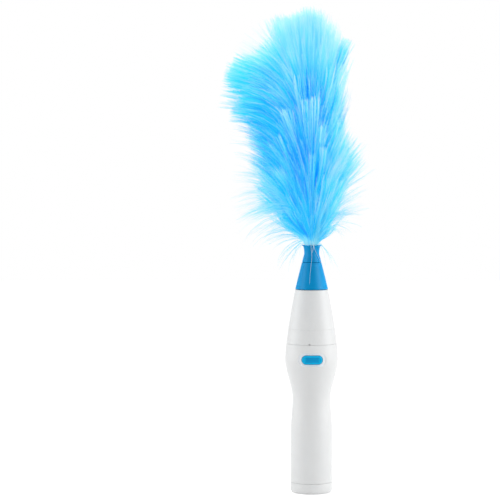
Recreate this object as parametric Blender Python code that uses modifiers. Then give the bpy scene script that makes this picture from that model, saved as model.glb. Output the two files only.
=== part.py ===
"""Electric feather duster: a battery handle that spins a push-on head of long fibres.

The duster stands on its base at z = 0, with its axis on +Z and its button facing -Y.
Every size is in metres.
"""
import math

import bmesh
import bpy
from mathutils import Vector

# Gaps and walls shared by many pieces.
SEAT_GAP = 0.0003
RUN_GAP = 0.0005
PRESS_GAP = 0.0002
CUT_OVERRUN = 0.001
WELD_DISTANCE = 0.000001
WALL = 0.002

# How finely round pieces are faceted.
SHELL_STEPS = 32
PIECE_STEPS = 20
SMALL_STEPS = 12
TINY_STEPS = 6
COIL_STEPS = 8
COLLAR_STEPS = 24
PILL_ARC_STEPS = 4
PILL_FLAT_STEPS = 4

# Screw cap at the base, with its contact disc.
CAP_HEIGHT = 0.0095
CAP_FLOOR = 0.0024
CAP_EDGE_RADIUS = 0.003
SPIGOT_LENGTH = 0.005
BOSS_RADIUS = 0.002
DISC_THICKNESS = 0.0016
DISC_SCREW_SHANK = 0.0008
DISC_SCREW_HEAD = 0.0028
DISC_SCREW_HEAD_HEIGHT = 0.0007
STRIP_THICKNESS = 0.0004
STRIP_HALF_WIDTH = 0.006
KEY_POST_RADIUS = 0.0015
KEY_POST_OFFSET = 0.011
KEY_POST_HEIGHT = 0.018

# Four cells in two columns, and the springs that press them.
CELL_RADIUS = 0.00725
CELL_LENGTH = 0.0505
NUB_RADIUS = 0.00275
NUB_HEIGHT = 0.001
CELL_CLEARANCE = 0.00025
DIVIDER_WEB = 0.0008
DIVIDER_HALF_WIDTH = 0.006
TUBE_CLEARANCE = 0.00035
SPRING_LENGTH = 0.004
SPRING_WIRE = 0.0003
SPRING_TURNS = 3
SPRING_FOOT_RADIUS = 0.0045
SPRING_TIP_RADIUS = 0.0027
CONTACT_RADIUS = 0.0045

# Outline of the handle, from its waist outwards.
GRIP_SWELL = 0.0018
BULGE_SWELL = 0.0069
BULGE_DROP = 0.0005
WAIST_TO_BULGE = 0.0375
GRIP_TO_WAIST = 0.030
TAPER_CURVE = 1.4

# Push button, its recess, its switch and the boards that carry them.
BOARD_THICKNESS = 0.0016
BUTTON_RISE = 0.0105
BUTTON_HALF_LENGTH = 0.00985
BUTTON_HALF_HEIGHT = 0.00415
BUTTON_PROUD = 0.0003
BUTTON_TRAVEL = 0.0018
BUTTON_FLANGE = 0.0013
BUTTON_FLANGE_THICKNESS = 0.0014
BUTTON_EDGE = 0.0006
BUTTON_RIM = 0.0011
BUTTON_DISH_SLOPE = 0.0008
BUTTON_DISH_DEPTH = 0.0006
BUTTON_SIDE_GAP = 0.0004
RECESS_HALF_LENGTH = 0.0132
RECESS_HALF_HEIGHT = 0.0064
RECESS_SLOPE = 0.0014
RECESS_DEPTH = 0.001
FLANGE_GAP = 0.001
PLUNGER_RADIUS = 0.0017
PLUNGER_IN_SWITCH = 0.0022
BUTTON_SPRING_LENGTH = 0.0047
BUTTON_SPRING_RADIUS = 0.0029
SWITCH_HALF_SIZE = 0.004
SWITCH_DEPTH = 0.0064
SWITCH_BOARD_HALF_WIDTH = 0.0125
SWITCH_BOARD_ABOVE = 0.0065

# Trim ring over the joint of grip and nose.
SEAM_RISE = 0.0134
RING_HEIGHT = 0.0139
RING_WALL = 0.0013
NOTCH_HALF_WIDTH = 0.0009
NOTCH_HEIGHT = 0.0009
TONGUE_LEAD_IN = 0.0015
TONGUE_TAPER = 0.0045

# Nose with the gearbox inside.
NOSE_HEIGHT = 0.0357
NOSE_TOP_WALL = 0.002
NOSE_SCREW_BLOCK = 0.0042
NOSE_DRAW_IN = 0.00075
NOSE_EDGE = 0.0005
PLATE_THICKNESS = 0.0016
BEARING_THICKNESS = 0.002
POST_RADIUS = 0.002
POST_MARGIN = 0.0001
POST_ANGLES = (120, 180, 240)
LONG_SCREW_RADIUS = 0.001
LONG_SCREW_HEAD = 0.0015
LONG_SCREW_HEAD_HEIGHT = 0.0013
LONG_SCREW_BITE = 0.0036
MOTOR_SCREW_RADIUS = 0.0008
MOTOR_SCREW_HEAD = 0.0016
MOTOR_SCREW_HEAD_HEIGHT = 0.0011
MOTOR_SCREW_OFFSET = 0.006
MOTOR_SCREW_BITE = 0.0015
BUSH_WALL = 0.0015
BUSH_FLANGE = 0.0013
BUSH_FLANGE_THICKNESS = 0.001

# Gears: two equal reductions on one pair of centres.
MODULE = 0.0005
PINION_TEETH = 8
WHEEL_TEETH = 26
PROFILE_SHIFT = 0.4
PRESSURE_ANGLE = math.radians(20)
TIP_SHARE = 0.8
ROOT_SHARE = 1.25
BACKLASH = 0.00016
GEAR_CLEARANCE = 0.0006
WHEEL_THICKNESS = 0.0024
OUTPUT_THICKNESS = 0.003
IDLER_PIN_RADIUS = 0.00075

# Motor.
CAN_RADIUS = 0.0102
CAN_HALF_FLAT = 0.0077
CAN_LENGTH = 0.027
CAN_WALL = 0.0006
CAN_BOSS_RADIUS = 0.003
CAN_BOSS_HEIGHT = 0.0012
BELL_LENGTH = 0.005
BELL_FLOOR = 0.0018
SHAFT_RADIUS = 0.001
ARMATURE_LENGTH = 0.014
ARMATURE_GAP = 0.0005
ARMATURE_END_SPACE = 0.004
ARMATURE_SLOT = 0.0022
MAGNET_THICKNESS = 0.0018
MAGNET_HALF_ANGLE = 42
COMMUTATOR_RADIUS = 0.0024
COMMUTATOR_LENGTH = 0.003
TERMINAL_HALF_WIDTH = 0.001
TERMINAL_THICKNESS = 0.0005
TERMINAL_LENGTH = 0.0024
TERMINAL_OFFSET = 0.005
LEAD_RADIUS = 0.0006
LEAD_BOW = 0.0035

# Spindle and the head that pushes onto it.
SPINDLE_RADIUS = 0.003
HEX_CORNER_RADIUS = 0.0029
HEX_TOP_CLEAR = 0.0015
HEX_FOOT = 0.003
CLIP_WIDTH = 0.0019
CLIP_THICKNESS = 0.0008
SOCKET_WALL = 0.0018
HUB_WALL = 0.0016
CONE_PROUD = 0.0003
CONE_HEIGHT = 0.0243
CONE_WALL = 0.0015
CONE_TOP_WALL = 0.0035
CONE_TOP_RADIUS = 0.00875
COLLAR_HEIGHT = 0.0159
COLLAR_FOOT_PROUD = 0.0004
COLLAR_FOOT_HEIGHT = 0.0015
COLLAR_NECK_RADIUS = 0.0069
COLLAR_LIP_RADIUS = 0.0085
COLLAR_LIP_WALL = 0.0008
COLLAR_NECK_SHARE = 0.5
COLLAR_MOUTH_SHARE = 0.42
STEM_RADIUS = 0.0032
STEM_SINK = 0.0025

# Plume: rings of strands on five sleeves that slide over the stem.
SLEEVE_WALL = 0.0014
SLEEVE_SIDES = 24
RINGS_PER_TIER = (3, 3, 3, 2, 2)
RING_PITCH = 0.0146
ROOT_BAND = 0.0014
FIRST_RING_RISE = 0.0028
PLUME_REACH = 0.045
PLUME_RISE = 0.062
PLUME_DROOP = 0.034
STRAND_RADIUS = 0.0009
STRAND_BEND_SHARES = (0.09, 0.5)
STRAND_TAPER_SHARES = (0.62, 1.0)
BACK_SHARE = 0.97
STRAND_TURN = math.radians(14)
TIER_NAMES = ("tuft_bottom", "tuft_lower", "tuft_middle", "tuft_upper", "tuft_top")

# Heights of the battery stack, from the floor of the cap upwards.
DISC_Z = CAP_FLOOR + SEAT_GAP
STRIP_Z = DISC_Z + DISC_THICKNESS + SEAT_GAP
STACK_Z = STRIP_Z + STRIP_THICKNESS + SEAT_GAP
STACK_TOP = STACK_Z + SPRING_LENGTH + 2 * (CELL_LENGTH + SEAT_GAP)
PLATE_Z = STACK_TOP + SEAT_GAP
BOARD_Z = PLATE_Z + STRIP_THICKNESS + SEAT_GAP
BOARD_TOP = BOARD_Z + BOARD_THICKNESS

# Places and radii that follow the cells.
CELL_BORE = CELL_RADIUS + CELL_CLEARANCE
CELL_X = CELL_BORE + DIVIDER_WEB / 2
CELLS_BORE = CELL_X + CELL_RADIUS + TUBE_CLEARANCE
WAIST_RADIUS = CELLS_BORE + WALL
DIVIDER_RADIUS = WAIST_RADIUS - WALL - SEAT_GAP
GRIP_RADIUS = WAIST_RADIUS + GRIP_SWELL
BULGE_RADIUS = WAIST_RADIUS + BULGE_SWELL

# Heights of the handle's outline.
BUTTON_Z = BOARD_TOP + BUTTON_RISE
BULGE_Z = BUTTON_Z - BULGE_DROP
WAIST_Z = BULGE_Z - WAIST_TO_BULGE
STRAIGHT_TOP = WAIST_Z - GRIP_TO_WAIST
SEAM_Z = BUTTON_Z + SEAM_RISE
RING_TOP = SEAM_Z + RING_HEIGHT
NOSE_TOP = RING_TOP + NOSE_HEIGHT

# Gear sizes and the room that they need.
CENTRE_DISTANCE = MODULE * (PINION_TEETH + WHEEL_TEETH) / 2
WHEEL_TIP = MODULE * (WHEEL_TEETH / 2 + TIP_SHARE - PROFILE_SHIFT)
GEAR_ROOM_RADIUS = CENTRE_DISTANCE + WHEEL_TIP + GEAR_CLEARANCE
NOSE_TOP_RADIUS = GEAR_ROOM_RADIUS - NOSE_DRAW_IN


def eased(share):
    """Ease a share from 0 to 1 with flat ends."""
    share = min(max(share, 0), 1)
    return share * share * (3 - 2 * share)


def between(low, high, share):
    """The value a share of the way from low to high."""
    return low + (high - low) * share


def handle_radius(z):
    """Outer radius of the handle at a height."""
    if z <= STRAIGHT_TOP:
        return GRIP_RADIUS
    if z <= WAIST_Z:
        return between(GRIP_RADIUS, WAIST_RADIUS, eased((z - STRAIGHT_TOP) / GRIP_TO_WAIST))
    if z <= BULGE_Z:
        return between(WAIST_RADIUS, BULGE_RADIUS, eased((z - WAIST_Z) / WAIST_TO_BULGE))
    along = (z - BULGE_Z) / (NOSE_TOP - BULGE_Z)
    return between(BULGE_RADIUS, NOSE_TOP_RADIUS, along ** TAPER_CURVE)


# Heights inside the nose, from its top downwards.
BEARING_SEAT = NOSE_TOP - NOSE_TOP_WALL - NOSE_SCREW_BLOCK
BEARING_TOP = BEARING_SEAT - SEAT_GAP
BEARING_Z = BEARING_TOP - BEARING_THICKNESS
OUTPUT_TOP = BEARING_Z - GEAR_CLEARANCE
OUTPUT_Z = OUTPUT_TOP - OUTPUT_THICKNESS
WHEEL_TOP = OUTPUT_Z - GEAR_CLEARANCE
WHEEL_Z = WHEEL_TOP - WHEEL_THICKNESS
MOTOR_PLATE_TOP = WHEEL_Z - GEAR_CLEARANCE - MOTOR_SCREW_HEAD_HEIGHT - SEAT_GAP
MOTOR_PLATE_Z = MOTOR_PLATE_TOP - PLATE_THICKNESS
CAN_TOP = MOTOR_PLATE_Z - SEAT_GAP
CAN_Z = CAN_TOP - CAN_LENGTH
BELL_TOP = CAN_Z - SEAT_GAP
BELL_Z = BELL_TOP - BELL_LENGTH

# Radii inside the nose.
MOTOR_PLATE_BORE = handle_radius(MOTOR_PLATE_TOP) - WALL
BEARING_BORE = handle_radius(BEARING_SEAT) - WALL
BEARING_RADIUS = BEARING_BORE - SEAT_GAP
POST_CIRCLE = BEARING_RADIUS - POST_RADIUS - POST_MARGIN
LONG_SCREW_HOLE = LONG_SCREW_RADIUS + SEAT_GAP
SPINDLE_BORE = SPINDLE_RADIUS + PRESS_GAP
BUSH_RADIUS = SPINDLE_BORE + BUSH_WALL
BUSH_HOLE = BUSH_RADIUS + SEAT_GAP
RING_BORE = handle_radius(RING_TOP) - RING_WALL
TONGUE_RADIUS = RING_BORE - SEAT_GAP
TONGUE_BORE = TONGUE_RADIUS - WALL
TONGUE_SPLIT = (SEAM_Z + RING_TOP) / 2

# Heights of the head.
CONE_Z = NOSE_TOP + RUN_GAP
CONE_TOP = CONE_Z + CONE_HEIGHT
CONE_BASE_RADIUS = NOSE_TOP_RADIUS + CONE_PROUD
COLLAR_Z = CONE_TOP + SEAT_GAP
COLLAR_TOP = COLLAR_Z + COLLAR_HEIGHT
STEM_BORE = STEM_RADIUS + SEAT_GAP
STEM_Z = CONE_TOP - STEM_SINK
SLEEVE_RADIUS = STEM_BORE + SLEEVE_WALL
RING_COUNT = sum(RINGS_PER_TIER)
FIRST_RING_Z = COLLAR_TOP + FIRST_RING_RISE
SLEEVES_TOP = FIRST_RING_Z + RING_COUNT * RING_PITCH
STEM_TOP = SLEEVES_TOP + SLEEVE_WALL


def linear(channel):
    """Turn one sRGB channel from 0 to 1 into a linear one."""
    if channel <= 0.04045:
        return channel / 12.92
    return ((channel + 0.055) / 1.055) ** 2.4


def material(name, colour, roughness, metallic=0):
    """Make a material from an sRGB hex colour."""
    made = bpy.data.materials.new(name)
    made.use_nodes = True
    shader = made.node_tree.nodes["Principled BSDF"]
    channels = [linear(int(colour[i:i + 2], 16) / 255) for i in (0, 2, 4)]
    shader.inputs["Base Color"].default_value = (*channels, 1)
    shader.inputs["Roughness"].default_value = roughness
    shader.inputs["Metallic"].default_value = metallic
    made.diffuse_color = (*channels, 1)
    return made


def add_object(name, data, finish, location=(0, 0, 0), collection=None):
    """Link new object data into the parts, with its finish and its place."""
    made = bpy.data.objects.new(name, data)
    made.location = location
    (collection or PARTS).objects.link(made)
    if finish:
        data.materials.append(finish)
    return made


def turned(name, profile, finish, steps=PIECE_STEPS, closed=True, location=(0, 0, 0)):
    """Turn a profile of (radius, height) points, outer side downwards, round the Z axis."""
    mesh = bpy.data.meshes.new(name)
    count = len(profile)
    edges = [(i, i + 1) for i in range(count - 1)]
    if closed:
        edges.append((count - 1, 0))
    mesh.from_pydata([(radius, 0, z) for radius, z in profile], edges, [])
    made = add_object(name, mesh, finish, location)
    screw = made.modifiers.new("turn", "SCREW")
    screw.steps = steps
    screw.render_steps = steps
    screw.use_merge_vertices = True
    screw.merge_threshold = WELD_DISTANCE
    return made


def tube_profile(inner, outer, bottom, top):
    """The profile of a plain ring or tube."""
    return [(inner, top), (outer, top), (outer, bottom), (inner, bottom)]


def rod_profile(radius, bottom, top):
    """The profile of a plain rod, to be turned open."""
    return [(0, top), (radius, top), (radius, bottom), (0, bottom)]


def rod(name, radius, bottom, top, finish, steps=SMALL_STEPS, location=(0, 0, 0)):
    """A plain turned rod."""
    profile = rod_profile(radius, bottom, top)
    return turned(name, profile, finish, steps, closed=False, location=location)


def circle(radius, steps=PIECE_STEPS, centre=(0, 0), first_angle=0):
    """The points of a circle."""
    turn = 2 * math.pi / steps
    return [
        (
            centre[0] + radius * math.cos(first_angle + turn * i),
            centre[1] + radius * math.sin(first_angle + turn * i),
        )
        for i in range(steps)
    ]


def flat_piece(name, loops, bottom, top, finish, location=(0, 0, 0)):
    """Extrude a flat outline, whose later loops are holes, and leave it as a closed mesh."""
    curve = bpy.data.curves.new(name, "CURVE")
    curve.dimensions = "2D"
    curve.fill_mode = "BOTH"
    curve.extrude = (top - bottom) / 2
    for loop in loops:
        spline = curve.splines.new("POLY")
        spline.points.add(len(loop) - 1)
        for point, (x, y) in zip(spline.points, loop):
            point.co = (x, y, 0, 1)
        spline.use_cyclic_u = True
    middle = (location[0], location[1], location[2] + (bottom + top) / 2)
    return as_mesh(add_object(name, curve, finish, middle), finish)


def as_mesh(source, finish):
    """Replace a curve object by a welded mesh object in the same place."""
    bpy.context.view_layer.update()
    name = source.name
    graph = bpy.context.evaluated_depsgraph_get()
    mesh = bpy.data.meshes.new_from_object(source.evaluated_get(graph))
    place = source.matrix_world.copy()
    bpy.data.objects.remove(source)
    shape = bmesh.new()
    shape.from_mesh(mesh)
    bmesh.ops.remove_doubles(shape, verts=shape.verts, dist=WELD_DISTANCE)
    bmesh.ops.recalc_face_normals(shape, faces=shape.faces)
    shape.to_mesh(mesh)
    shape.free()
    mesh.materials.clear()
    made = add_object(name, mesh, finish)
    made.matrix_world = place
    return made


def wire(name, points, radius, finish, location=(0, 0, 0), resolution=0):
    """A wire through the points, with filled ends."""
    curve = bpy.data.curves.new(name, "CURVE")
    curve.dimensions = "3D"
    curve.bevel_depth = radius
    curve.bevel_resolution = resolution
    curve.use_fill_caps = True
    spline = curve.splines.new("POLY")
    spline.points.add(len(points) - 1)
    for point, place in zip(spline.points, points):
        point.co = (*place, 1)
    return add_object(name, curve, finish, location)


def box(name, low, high, finish):
    """A box between two corners, with its origin at its centre."""
    shape = bmesh.new()
    bmesh.ops.create_cube(shape, size=1)
    size = [b - a for a, b in zip(low, high)]
    bmesh.ops.scale(shape, vec=size, verts=shape.verts)
    mesh = bpy.data.meshes.new(name)
    shape.to_mesh(mesh)
    shape.free()
    centre = [(a + b) / 2 for a, b in zip(low, high)]
    return add_object(name, mesh, finish, centre)


def combine(target, other, operation):
    """Cut or join one object with another, which then stays as a hidden guide."""
    for collection in list(other.users_collection):
        collection.objects.unlink(other)
    CUTTERS.objects.link(other)
    other.hide_render = True
    other.display_type = "WIRE"
    change = target.modifiers.new(operation.lower(), "BOOLEAN")
    change.operation = operation
    change.object = other
    return target


def cut(target, other):
    """Cut another object out of the target."""
    return combine(target, other, "DIFFERENCE")


def join(target, other):
    """Fuse another object into the target."""
    return combine(target, other, "UNION")


def stadium(half_length, half_height):
    """The outline of a pill, from its right tip over the top and back underneath."""
    straight = half_length - half_height
    turns = [math.pi / 2 * i / PILL_ARC_STEPS for i in range(PILL_ARC_STEPS)]
    end = [(straight + half_height * math.cos(a), half_height * math.sin(a)) for a in turns]
    middle = [
        (between(straight, -straight, i / PILL_FLAT_STEPS), half_height)
        for i in range(PILL_FLAT_STEPS + 1)
    ]
    far_end = [(-x, z) for x, z in reversed(end[1:])]
    upper = end + middle + far_end
    return upper + [(-x, -z) for x, z in upper]


def pill_cap(shape, ring):
    """Close a pill's ring with faces that run from its upper to its lower edge."""
    half = len(ring) // 2
    shape.faces.new((ring[0], ring[1], ring[-1]))
    shape.faces.new((ring[half - 1], ring[half], ring[half + 1]))
    for i in range(1, half - 1):
        shape.faces.new((ring[i], ring[i + 1], ring[-i - 1], ring[-i]))


def bridge(shape, lower, upper):
    """Join two rings of vertices with a band of faces."""
    quads = []
    count = len(lower)
    for i in range(count):
        after = (i + 1) % count
        quads.append(shape.faces.new((lower[i], lower[after], upper[after], upper[i])))
    return quads


def pill_block(name, sections, finish):
    """A pill in the wall of the handle, lofted from back to front through its sections.

    Each section is (half length, half height, distance of its middle from the handle's
    axis). The block is bent to the round of the handle.
    """
    shape = bmesh.new()
    rings = []
    for half_length, half_height, distance in sections:
        ring = []
        for x, z in stadium(half_length, half_height):
            bend = BULGE_RADIUS - math.sqrt(BULGE_RADIUS ** 2 - x ** 2)
            ring.append(shape.verts.new((x, bend - distance, z)))
        rings.append(ring)
    for lower, upper in zip(rings, rings[1:]):
        bridge(shape, lower, upper)
    pill_cap(shape, rings[0])
    pill_cap(shape, rings[-1])
    bmesh.ops.recalc_face_normals(shape, faces=shape.faces)
    mesh = bpy.data.meshes.new(name)
    shape.to_mesh(mesh)
    shape.free()
    return add_object(name, mesh, finish, (0, 0, BUTTON_Z))


def base_cap():
    """The screw cap that the duster stands on, with its spigot and its centre boss."""
    spigot = GRIP_RADIUS - WALL - SEAT_GAP
    spigot_top = CAP_HEIGHT + SPIGOT_LENGTH
    boss_top = STRIP_Z
    hole = DISC_SCREW_SHANK + SEAT_GAP
    profile = [
        (0, CAP_FLOOR / 2),
        (hole, CAP_FLOOR / 2),
        (hole, boss_top),
        (BOSS_RADIUS, boss_top),
        (BOSS_RADIUS, CAP_FLOOR),
        (CELLS_BORE, CAP_FLOOR),
        (CELLS_BORE, spigot_top),
        (spigot, spigot_top),
        (spigot, CAP_HEIGHT),
        (GRIP_RADIUS, CAP_HEIGHT),
    ]
    centre_radius = GRIP_RADIUS - CAP_EDGE_RADIUS
    for angle in (0, 45, 90):
        turn = math.radians(angle)
        profile.append(
            (
                centre_radius + CAP_EDGE_RADIUS * math.cos(turn),
                CAP_EDGE_RADIUS - CAP_EDGE_RADIUS * math.sin(turn),
            )
        )
    profile.append((0, 0))
    turned("base_cap", profile, WHITE_PLASTIC, SHELL_STEPS, closed=False)


def disc_screw():
    """The screw that holds the contact disc on the cap's boss and lets it turn."""
    head_z = STRIP_Z + SEAT_GAP
    profile = [
        (0, head_z + DISC_SCREW_HEAD_HEIGHT),
        (DISC_SCREW_HEAD, head_z + DISC_SCREW_HEAD_HEIGHT),
        (DISC_SCREW_HEAD, head_z),
        (DISC_SCREW_SHANK, head_z),
        (DISC_SCREW_SHANK, CAP_FLOOR / 2 + SEAT_GAP),
        (0, CAP_FLOOR / 2 + SEAT_GAP),
    ]
    turned("disc_screw", profile, STEEL, SMALL_STEPS, closed=False)


def tail_contact_disc():
    """The disc in the cap that carries the bridge strip, with two posts that key it."""
    radius = CELLS_BORE - SEAT_GAP
    hole = BOSS_RADIUS + SEAT_GAP
    loops = [circle(radius), circle(hole, SMALL_STEPS)]
    disc = flat_piece("tail_contact_disc", loops, DISC_Z, DISC_Z + DISC_THICKNESS, BLACK_PLASTIC)
    for side in (-1, 1):
        place = (0, side * KEY_POST_OFFSET, 0)
        bottom = DISC_Z + DISC_THICKNESS / 2
        post = rod("key_post", KEY_POST_RADIUS, bottom, DISC_Z + KEY_POST_HEIGHT, None, location=place)
        join(disc, post)


def tail_bridge_strip():
    """The nickel strip that joins the two columns at the base."""
    reach = CELL_X + CONTACT_RADIUS
    outline = stadium(reach, STRIP_HALF_WIDTH)
    hole = circle(DISC_SCREW_HEAD + SEAT_GAP, SMALL_STEPS)
    flat_piece("tail_bridge_strip", [outline, hole], STRIP_Z, STRIP_Z + STRIP_THICKNESS, NICKEL)


def coil(foot_radius, tip_radius, length, turns, wire_radius):
    """Points along a coil that rises from its foot to its tip, within its length."""
    count = turns * COIL_STEPS
    rise = length - 2 * wire_radius
    points = []
    for i in range(count + 1):
        share = i / count
        radius = between(foot_radius, tip_radius, share)
        turn = 2 * math.pi * turns * share
        z = wire_radius + rise * share
        points.append((radius * math.cos(turn), radius * math.sin(turn), z))
    return points


def contact_springs():
    """One spring under the left column and one over the right column."""
    foot = SPRING_FOOT_RADIUS - SPRING_WIRE
    points = coil(foot, SPRING_TIP_RADIUS, SPRING_LENGTH, SPRING_TURNS, SPRING_WIRE)
    wire("tail_contact_spring", points, SPRING_WIRE, NICKEL, (-CELL_X, 0, STACK_Z))
    hung = [(x, y, SPRING_LENGTH - z) for x, y, z in points]
    wire("head_contact_spring", hung, SPRING_WIRE, NICKEL, (CELL_X, 0, STACK_TOP - SPRING_LENGTH))


def battery_cells():
    """Four cells: the left column points up and the right column points down."""
    body = CELL_LENGTH - NUB_HEIGHT
    upright = [
        (0, CELL_LENGTH),
        (NUB_RADIUS, CELL_LENGTH),
        (NUB_RADIUS, body),
        (CELL_RADIUS, body),
        (CELL_RADIUS, 0),
        (0, 0),
    ]
    turned_over = [(radius, CELL_LENGTH - z) for radius, z in reversed(upright)]
    step = CELL_LENGTH + SEAT_GAP
    left_z = STACK_Z + SPRING_LENGTH + SEAT_GAP
    columns = (
        ("left", -CELL_X, left_z, upright),
        ("right", CELL_X, STACK_Z, turned_over),
    )
    for side, x, bottom, profile in columns:
        for level, place in (("lower", bottom), ("upper", bottom + step)):
            name = f"battery_cell_{side}_{level}"
            turned(name, profile, CELL_JACKET, PIECE_STEPS, closed=False, location=(x, 0, place))


def battery_divider():
    """The moulding between the two columns: a web that widens into guides front and back."""
    outer = math.asin(DIVIDER_HALF_WIDTH / DIVIDER_RADIUS)
    inner = math.acos((CELL_X - DIVIDER_HALF_WIDTH) / CELL_BORE)
    arc_steps = 6
    front = []
    for i in range(arc_steps + 1):
        turn = between(-outer, outer, i / arc_steps)
        front.append((DIVIDER_RADIUS * math.sin(turn), DIVIDER_RADIUS * math.cos(turn)))
    side = []
    bore_steps = 10
    for i in range(bore_steps + 1):
        turn = between(inner, -inner, i / bore_steps)
        side.append((CELL_X - CELL_BORE * math.cos(turn), CELL_BORE * math.sin(turn)))
    half = front + side
    outline = half + [(-x, -y) for x, y in half]
    bottom = CAP_HEIGHT + SPIGOT_LENGTH + SEAT_GAP + RUN_GAP
    top = BOARD_Z - SEAT_GAP
    divider = flat_piece("battery_divider", [outline], bottom, top, BLACK_PLASTIC)
    for place in (-1, 1):
        hole_top = DISC_Z + KEY_POST_HEIGHT + RUN_GAP
        hole = rod(
            "key_hole",
            KEY_POST_RADIUS + SEAT_GAP,
            bottom - CUT_OVERRUN,
            hole_top,
            None,
            location=(0, place * KEY_POST_OFFSET, 0),
        )
        cut(divider, hole)


def head_contacts():
    """The board over the cells, with the flat contact of the left column under it."""
    board = [circle(DIVIDER_RADIUS)]
    flat_piece("head_contact_board", board, BOARD_Z, BOARD_TOP, CIRCUIT_BOARD)
    plate = [circle(CONTACT_RADIUS, SMALL_STEPS, centre=(-CELL_X, 0))]
    flat_piece("head_contact_plate", plate, PLATE_Z, PLATE_Z + STRIP_THICKNESS, NICKEL)
    seat = [circle(CONTACT_RADIUS, SMALL_STEPS, centre=(CELL_X, 0))]
    flat_piece("head_spring_plate", seat, PLATE_Z, PLATE_Z + STRIP_THICKNESS, NICKEL)


def heights_between(low, high, count):
    """Evenly spaced heights from low to high, both included."""
    return [between(low, high, i / count) for i in range(count + 1)]


def grip_housing():
    """The lower casing: a turned shell with the button's recess and slot in its front."""
    bottom = CAP_HEIGHT + SEAT_GAP
    bore_top = SEAM_Z - TONGUE_LEAD_IN - TONGUE_TAPER
    tongue_top = TONGUE_SPLIT - SEAT_GAP / 2
    outside = (
        [SEAM_Z, between(SEAM_Z, BULGE_Z, 0.5)]
        + list(reversed(heights_between(WAIST_Z, BULGE_Z, 4)))
        + list(reversed(heights_between(STRAIGHT_TOP, WAIST_Z, 2)))[1:]
        + [bottom]
    )
    inside = (
        [bottom, STRAIGHT_TOP]
        + heights_between(WAIST_Z, BULGE_Z, 4)
        + [bore_top]
    )
    profile = [(TONGUE_BORE, tongue_top), (TONGUE_RADIUS, tongue_top), (TONGUE_RADIUS, SEAM_Z)]
    profile += [(handle_radius(z), z) for z in outside]
    profile += [(handle_radius(z) - WALL, z) for z in inside]
    profile.append((TONGUE_BORE, SEAM_Z - TONGUE_LEAD_IN))
    grip = turned("grip_housing", profile, WHITE_PLASTIC, SHELL_STEPS)
    outside = BULGE_RADIUS + CUT_OVERRUN
    floor = BULGE_RADIUS - RECESS_DEPTH
    long_floor = RECESS_HALF_LENGTH - RECESS_SLOPE
    high_floor = RECESS_HALF_HEIGHT - RECESS_SLOPE
    sections = [
        (long_floor, high_floor, floor),
        (RECESS_HALF_LENGTH, RECESS_HALF_HEIGHT, BULGE_RADIUS),
        (RECESS_HALF_LENGTH, RECESS_HALF_HEIGHT, outside),
    ]
    cut(grip, pill_block("button_recess", sections, None))
    long_slot = BUTTON_HALF_LENGTH + BUTTON_SIDE_GAP
    high_slot = BUTTON_HALF_HEIGHT + BUTTON_SIDE_GAP
    inside = BULGE_RADIUS - WALL - CUT_OVERRUN
    sections = [(long_slot, high_slot, inside), (long_slot, high_slot, outside)]
    cut(grip, pill_block("button_slot", sections, None))


def push_button():
    """The pill-shaped button with a flange behind the wall and a dished face."""
    flange_front = BULGE_RADIUS - WALL - FLANGE_GAP
    flange_back = flange_front - BUTTON_FLANGE_THICKNESS
    face = BULGE_RADIUS + BUTTON_PROUD
    steps = [
        (-BUTTON_FLANGE, flange_back),
        (-BUTTON_FLANGE, flange_front),
        (0, flange_front),
        (0, face - BUTTON_EDGE),
        (BUTTON_EDGE / 3, face - BUTTON_EDGE / 3),
        (BUTTON_EDGE, face),
        (BUTTON_EDGE + BUTTON_RIM, face),
        (BUTTON_EDGE + BUTTON_RIM + BUTTON_DISH_SLOPE, face - BUTTON_DISH_DEPTH),
    ]
    sections = [
        (BUTTON_HALF_LENGTH - inset, BUTTON_HALF_HEIGHT - inset, distance)
        for inset, distance in steps
    ]
    pill_block("push_button", sections, BLUE_PLASTIC)


def switch_parts():
    """The latching switch behind the button, its plunger, its spring and its board."""
    back = BULGE_RADIUS - WALL - FLANGE_GAP - BUTTON_FLANGE_THICKNESS
    plunger_front = back - SEAT_GAP
    spring_front = plunger_front - SEAT_GAP
    switch_front = spring_front - BUTTON_SPRING_LENGTH - SEAT_GAP
    switch_back = switch_front - SWITCH_DEPTH
    board_front = switch_back - SEAT_GAP
    board_back = board_front - BOARD_THICKNESS
    body = box(
        "switch_body",
        (-SWITCH_HALF_SIZE, -switch_front, BUTTON_Z - SWITCH_HALF_SIZE),
        (SWITCH_HALF_SIZE, -switch_back, BUTTON_Z + SWITCH_HALF_SIZE),
        BLACK_PLASTIC,
    )
    bore_depth = PLUNGER_IN_SWITCH + BUTTON_TRAVEL + RUN_GAP
    bore = rod("switch_bore", PLUNGER_RADIUS + SEAT_GAP, -bore_depth, CUT_OVERRUN, None)
    face_outwards(bore, switch_front)
    cut(body, bore)
    length = plunger_front - switch_front + PLUNGER_IN_SWITCH
    plunger = rod("switch_plunger", PLUNGER_RADIUS, -length, 0, NYLON)
    face_outwards(plunger, plunger_front)
    radius = BUTTON_SPRING_RADIUS - SPRING_WIRE
    points = coil(radius, radius, BUTTON_SPRING_LENGTH, SPRING_TURNS, SPRING_WIRE)
    spring = wire("button_spring", points, SPRING_WIRE, STEEL)
    face_outwards(spring, spring_front - BUTTON_SPRING_LENGTH)
    box(
        "switch_board",
        (-SWITCH_BOARD_HALF_WIDTH, -board_front, BOARD_TOP + SEAT_GAP),
        (SWITCH_BOARD_HALF_WIDTH, -board_back, BUTTON_Z + SWITCH_BOARD_ABOVE),
        CIRCUIT_BOARD,
    )


def face_outwards(made, distance):
    """Lay a piece so that its +Z points out through the button, at a distance from the axis."""
    made.rotation_euler = (math.pi / 2, 0, 0)
    made.location = (0, -distance, BUTTON_Z)


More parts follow.
